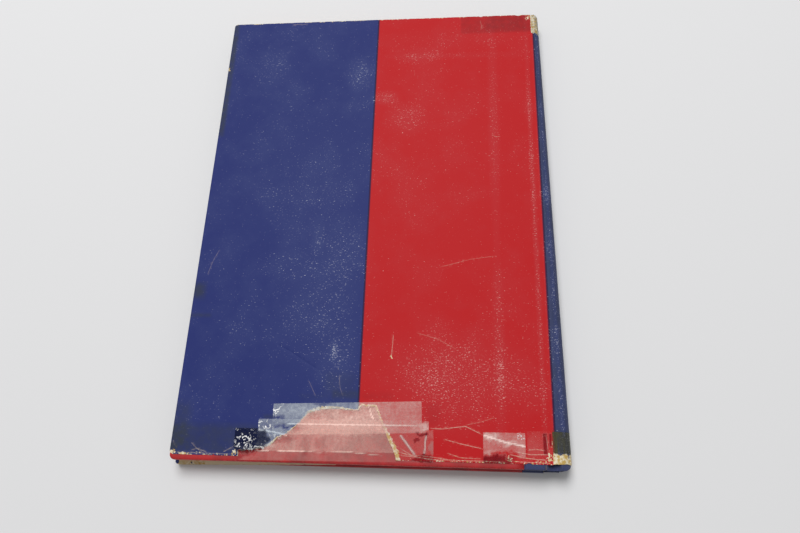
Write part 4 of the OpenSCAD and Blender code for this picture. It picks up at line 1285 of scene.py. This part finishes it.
def tapePiece(name):
    node, x0, y0, length, width, turn, layer = tapes[name]
    a = math.radians(turn)
    us = np.linspace(0, length, max(8, round(length / tapeSet["step"])) + 1)
    vs = np.linspace(0, width, max(8, round(width / tapeSet["step"])) + 1)
    grid = np.array([(u, v) for v in vs for u in us])
    grid[:, 0] += np.where(grid[:, 0] == 0, tapeSet["raggedEnd"] * waves(grid[:, 1], grid[:, 1], 1.0, layer), 0)
    x = x0 + grid[:, 0] * math.cos(a) - grid[:, 1] * math.sin(a)
    y = y0 + grid[:, 0] * math.sin(a) + grid[:, 1] * math.cos(a)
    hole = inside(np.stack([x, y], 1), tornArea)
    red = np.clip((x - printed["edges"][0]) / 0.6, 0, 1)
    overBlue, overRed, overHole = tapeSet["milk"][name]
    milk = np.where(hole, overHole, overBlue + (overRed - overBlue) * red)
    milk = milk * (1 + 0.3 * waves(x, y, 9, layer * 3.0))
    stuck, glint = np.zeros(len(x)), np.zeros(len(x))
    nearX, nearY = x + 3.0 * waves(x, y, 5, 21.0), y + 1.6 * waves(x, y, 3, 23.0)  # gives the spots ragged outlines
    for *spot, strength in milky.get(name, []):
        milk += softSpot(nearX, nearY, spot) * strength
    for *spot, strength in held.get(name, []):
        stuck = np.maximum(stuck, np.clip(softSpot(nearX, nearY, spot) * 2, 0, 1) * strength)
    for *spot, strength in glints.get(name, []):
        glint = np.maximum(glint, softSpot(nearX, nearY, spot) * strength)
    if name == "tapeTailBack":
        for block in heldBlocks:
            stuck = np.maximum(stuck, softBox(x, y, block, 0.4) * 0.42)
    for strip, half, line in tapeLines:
        if strip == name:
            close = np.clip(1.6 - nearest(np.stack([x, y], 1), line)[0] / half, 0, 1)
            milk = np.maximum(milk, close * 1.2)
    start, fade = tapeSet["tailEnd"]
    clear = np.clip((start - y) / fade, 0, 1) * np.where(hole, 0.35, 0.9)
    milk, glint = milk * (1 - clear), glint * (1 - clear)
    pink = np.maximum(hole, red * tapeSet["pinkOnRed"])
    crumple = tapeSet["wrinkle"] * (0.15 + 1.6 * glint) * np.abs(waves(x, y, 1.7, 8.0 + layer))
    crumple += 0.12 * np.clip(milk, 0, 1) * np.abs(waves(x, y, 4, 2.0))
    start, fade = tapeSet["flatEnd"]
    crumple *= np.clip((book["width"] - start - x) / fade, 0, 1)
    rise = surfaceUnder(x, y) + tapeSet["above"] + layer * tapeSet["lift"] + crumple
    top = np.stack([x, y, book["top"] + rise], 1)
    attributes = {"milk": np.clip(milk, 0, 1.2), "stuck": stuck, "glint": glint, "pink": pink}
    return filmPiece(name, node, top, np.array((0, 0, 1)), len(vs), attributes)


tapePieces = [tapePiece(name) for name in tapes]


def spineTape(name, node):
    low, high = bookBox(node)
    shares = np.linspace(*tapeSet["spineShares"], 40)
    section = [spinePath(-tapeSet["above"], s) for s in shares]
    rows = np.linspace(low[1], high[1], 26)
    outer = np.array([(x, y, z) for y in rows for x, z, nx, nz in section])
    normal = np.array([(nx, 0, nz) for y in rows for x, z, nx, nz in section])
    away = np.tile(np.clip(10 * shares - 1, 0, 1), len(rows))
    ripples = np.abs(waves(outer[:, 0] + outer[:, 2], outer[:, 1], 2.0, 3.0))
    outer += normal * (tapeSet["spineCrumple"] * away * ripples)[:, None]
    streaks = waves(3 * (outer[:, 0] - outer[:, 2]), outer[:, 1] * 0.3, 3.0, 2.0)
    yellowed = np.clip(0.55 + 0.5 * streaks, 0, 1)
    yellowed *= tapeSet["yellow"][node]
    if node == "tail_tape_spine":  # clear on the bared paper of the tail
        yellowed *= np.clip((outer[:, 1] - 5.0) / 0.8, 0, 1)
    return filmPiece(name, node, outer, normal, len(rows), {"yellowed": yellowed})


spineTapes = [spineTape("tapeTailSpine", "tail_tape_spine"), spineTape("tapeHeadSpine", "head_tape_spine")]
print("tapes made")

# What moves with what

riders = {
    "back_cover": [(jacketBack, "jacket_paper", "jacket_back"), (sidePaperBack, "side_paper", "back_side_paper"),
                   (boardClothBack, "quarter_cloth", "back_quarter_cloth")],
    "front_cover": [(jacketFront, "jacket_paper", "jacket_front"), (sidePaperFront, "side_paper", "front_side_paper"),
                    (boardClothFront, "quarter_cloth", "front_quarter_cloth")],
    "block": [(jacketSpine, "jacket_spine_paper", "jacket_spine"), (clothOfSpine, "quarter_cloth", "spine_cloth"),
              (textBlock, "pages", "text_block"), (headband, "band_cloth", "headband"),
              (tailband, "band_cloth", "tailband"), (stiffener, "spine_card", "spine_stiffener"),
              (lining, "mull", "spine_lining"), (flyleafBack, "endpaper", "back_flyleaf"),
              (flyleafFront, "endpaper", "front_flyleaf")],
}
for body, rows in riders.items():
    for piece, slot, node in rows:
        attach(piece, body)
        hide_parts(node)
for body, strips in (("back_cover", tapePieces), ("block", spineTapes)):
    for piece in strips:
        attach(piece, body)

# Pieces at the joints are not attached to a body: their transforms are baked into their meshes
for piece, body, slot, node in (
    (pastedownBack, "back_cover", "endpaper", "back_pastedown"),
    (pastedownFront, "front_cover", "endpaper", "front_pastedown"),
    (jointClothBack, "back_cover", "quarter_cloth", "back_quarter_cloth"),
    (jointClothFront, "front_cover", "quarter_cloth", "front_quarter_cloth"),
):
    if body == "back_cover":
        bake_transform(piece)
    else:
        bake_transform(piece)
    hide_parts(node)

for node, material in (("back_board", greyBoard), ("front_board", greyBoard), ("back_mull", gauze),
                       ("front_mull", gauze)):
    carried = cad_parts[node]
    carried.data.materials.clear()
    carried.data.materials.append(material)
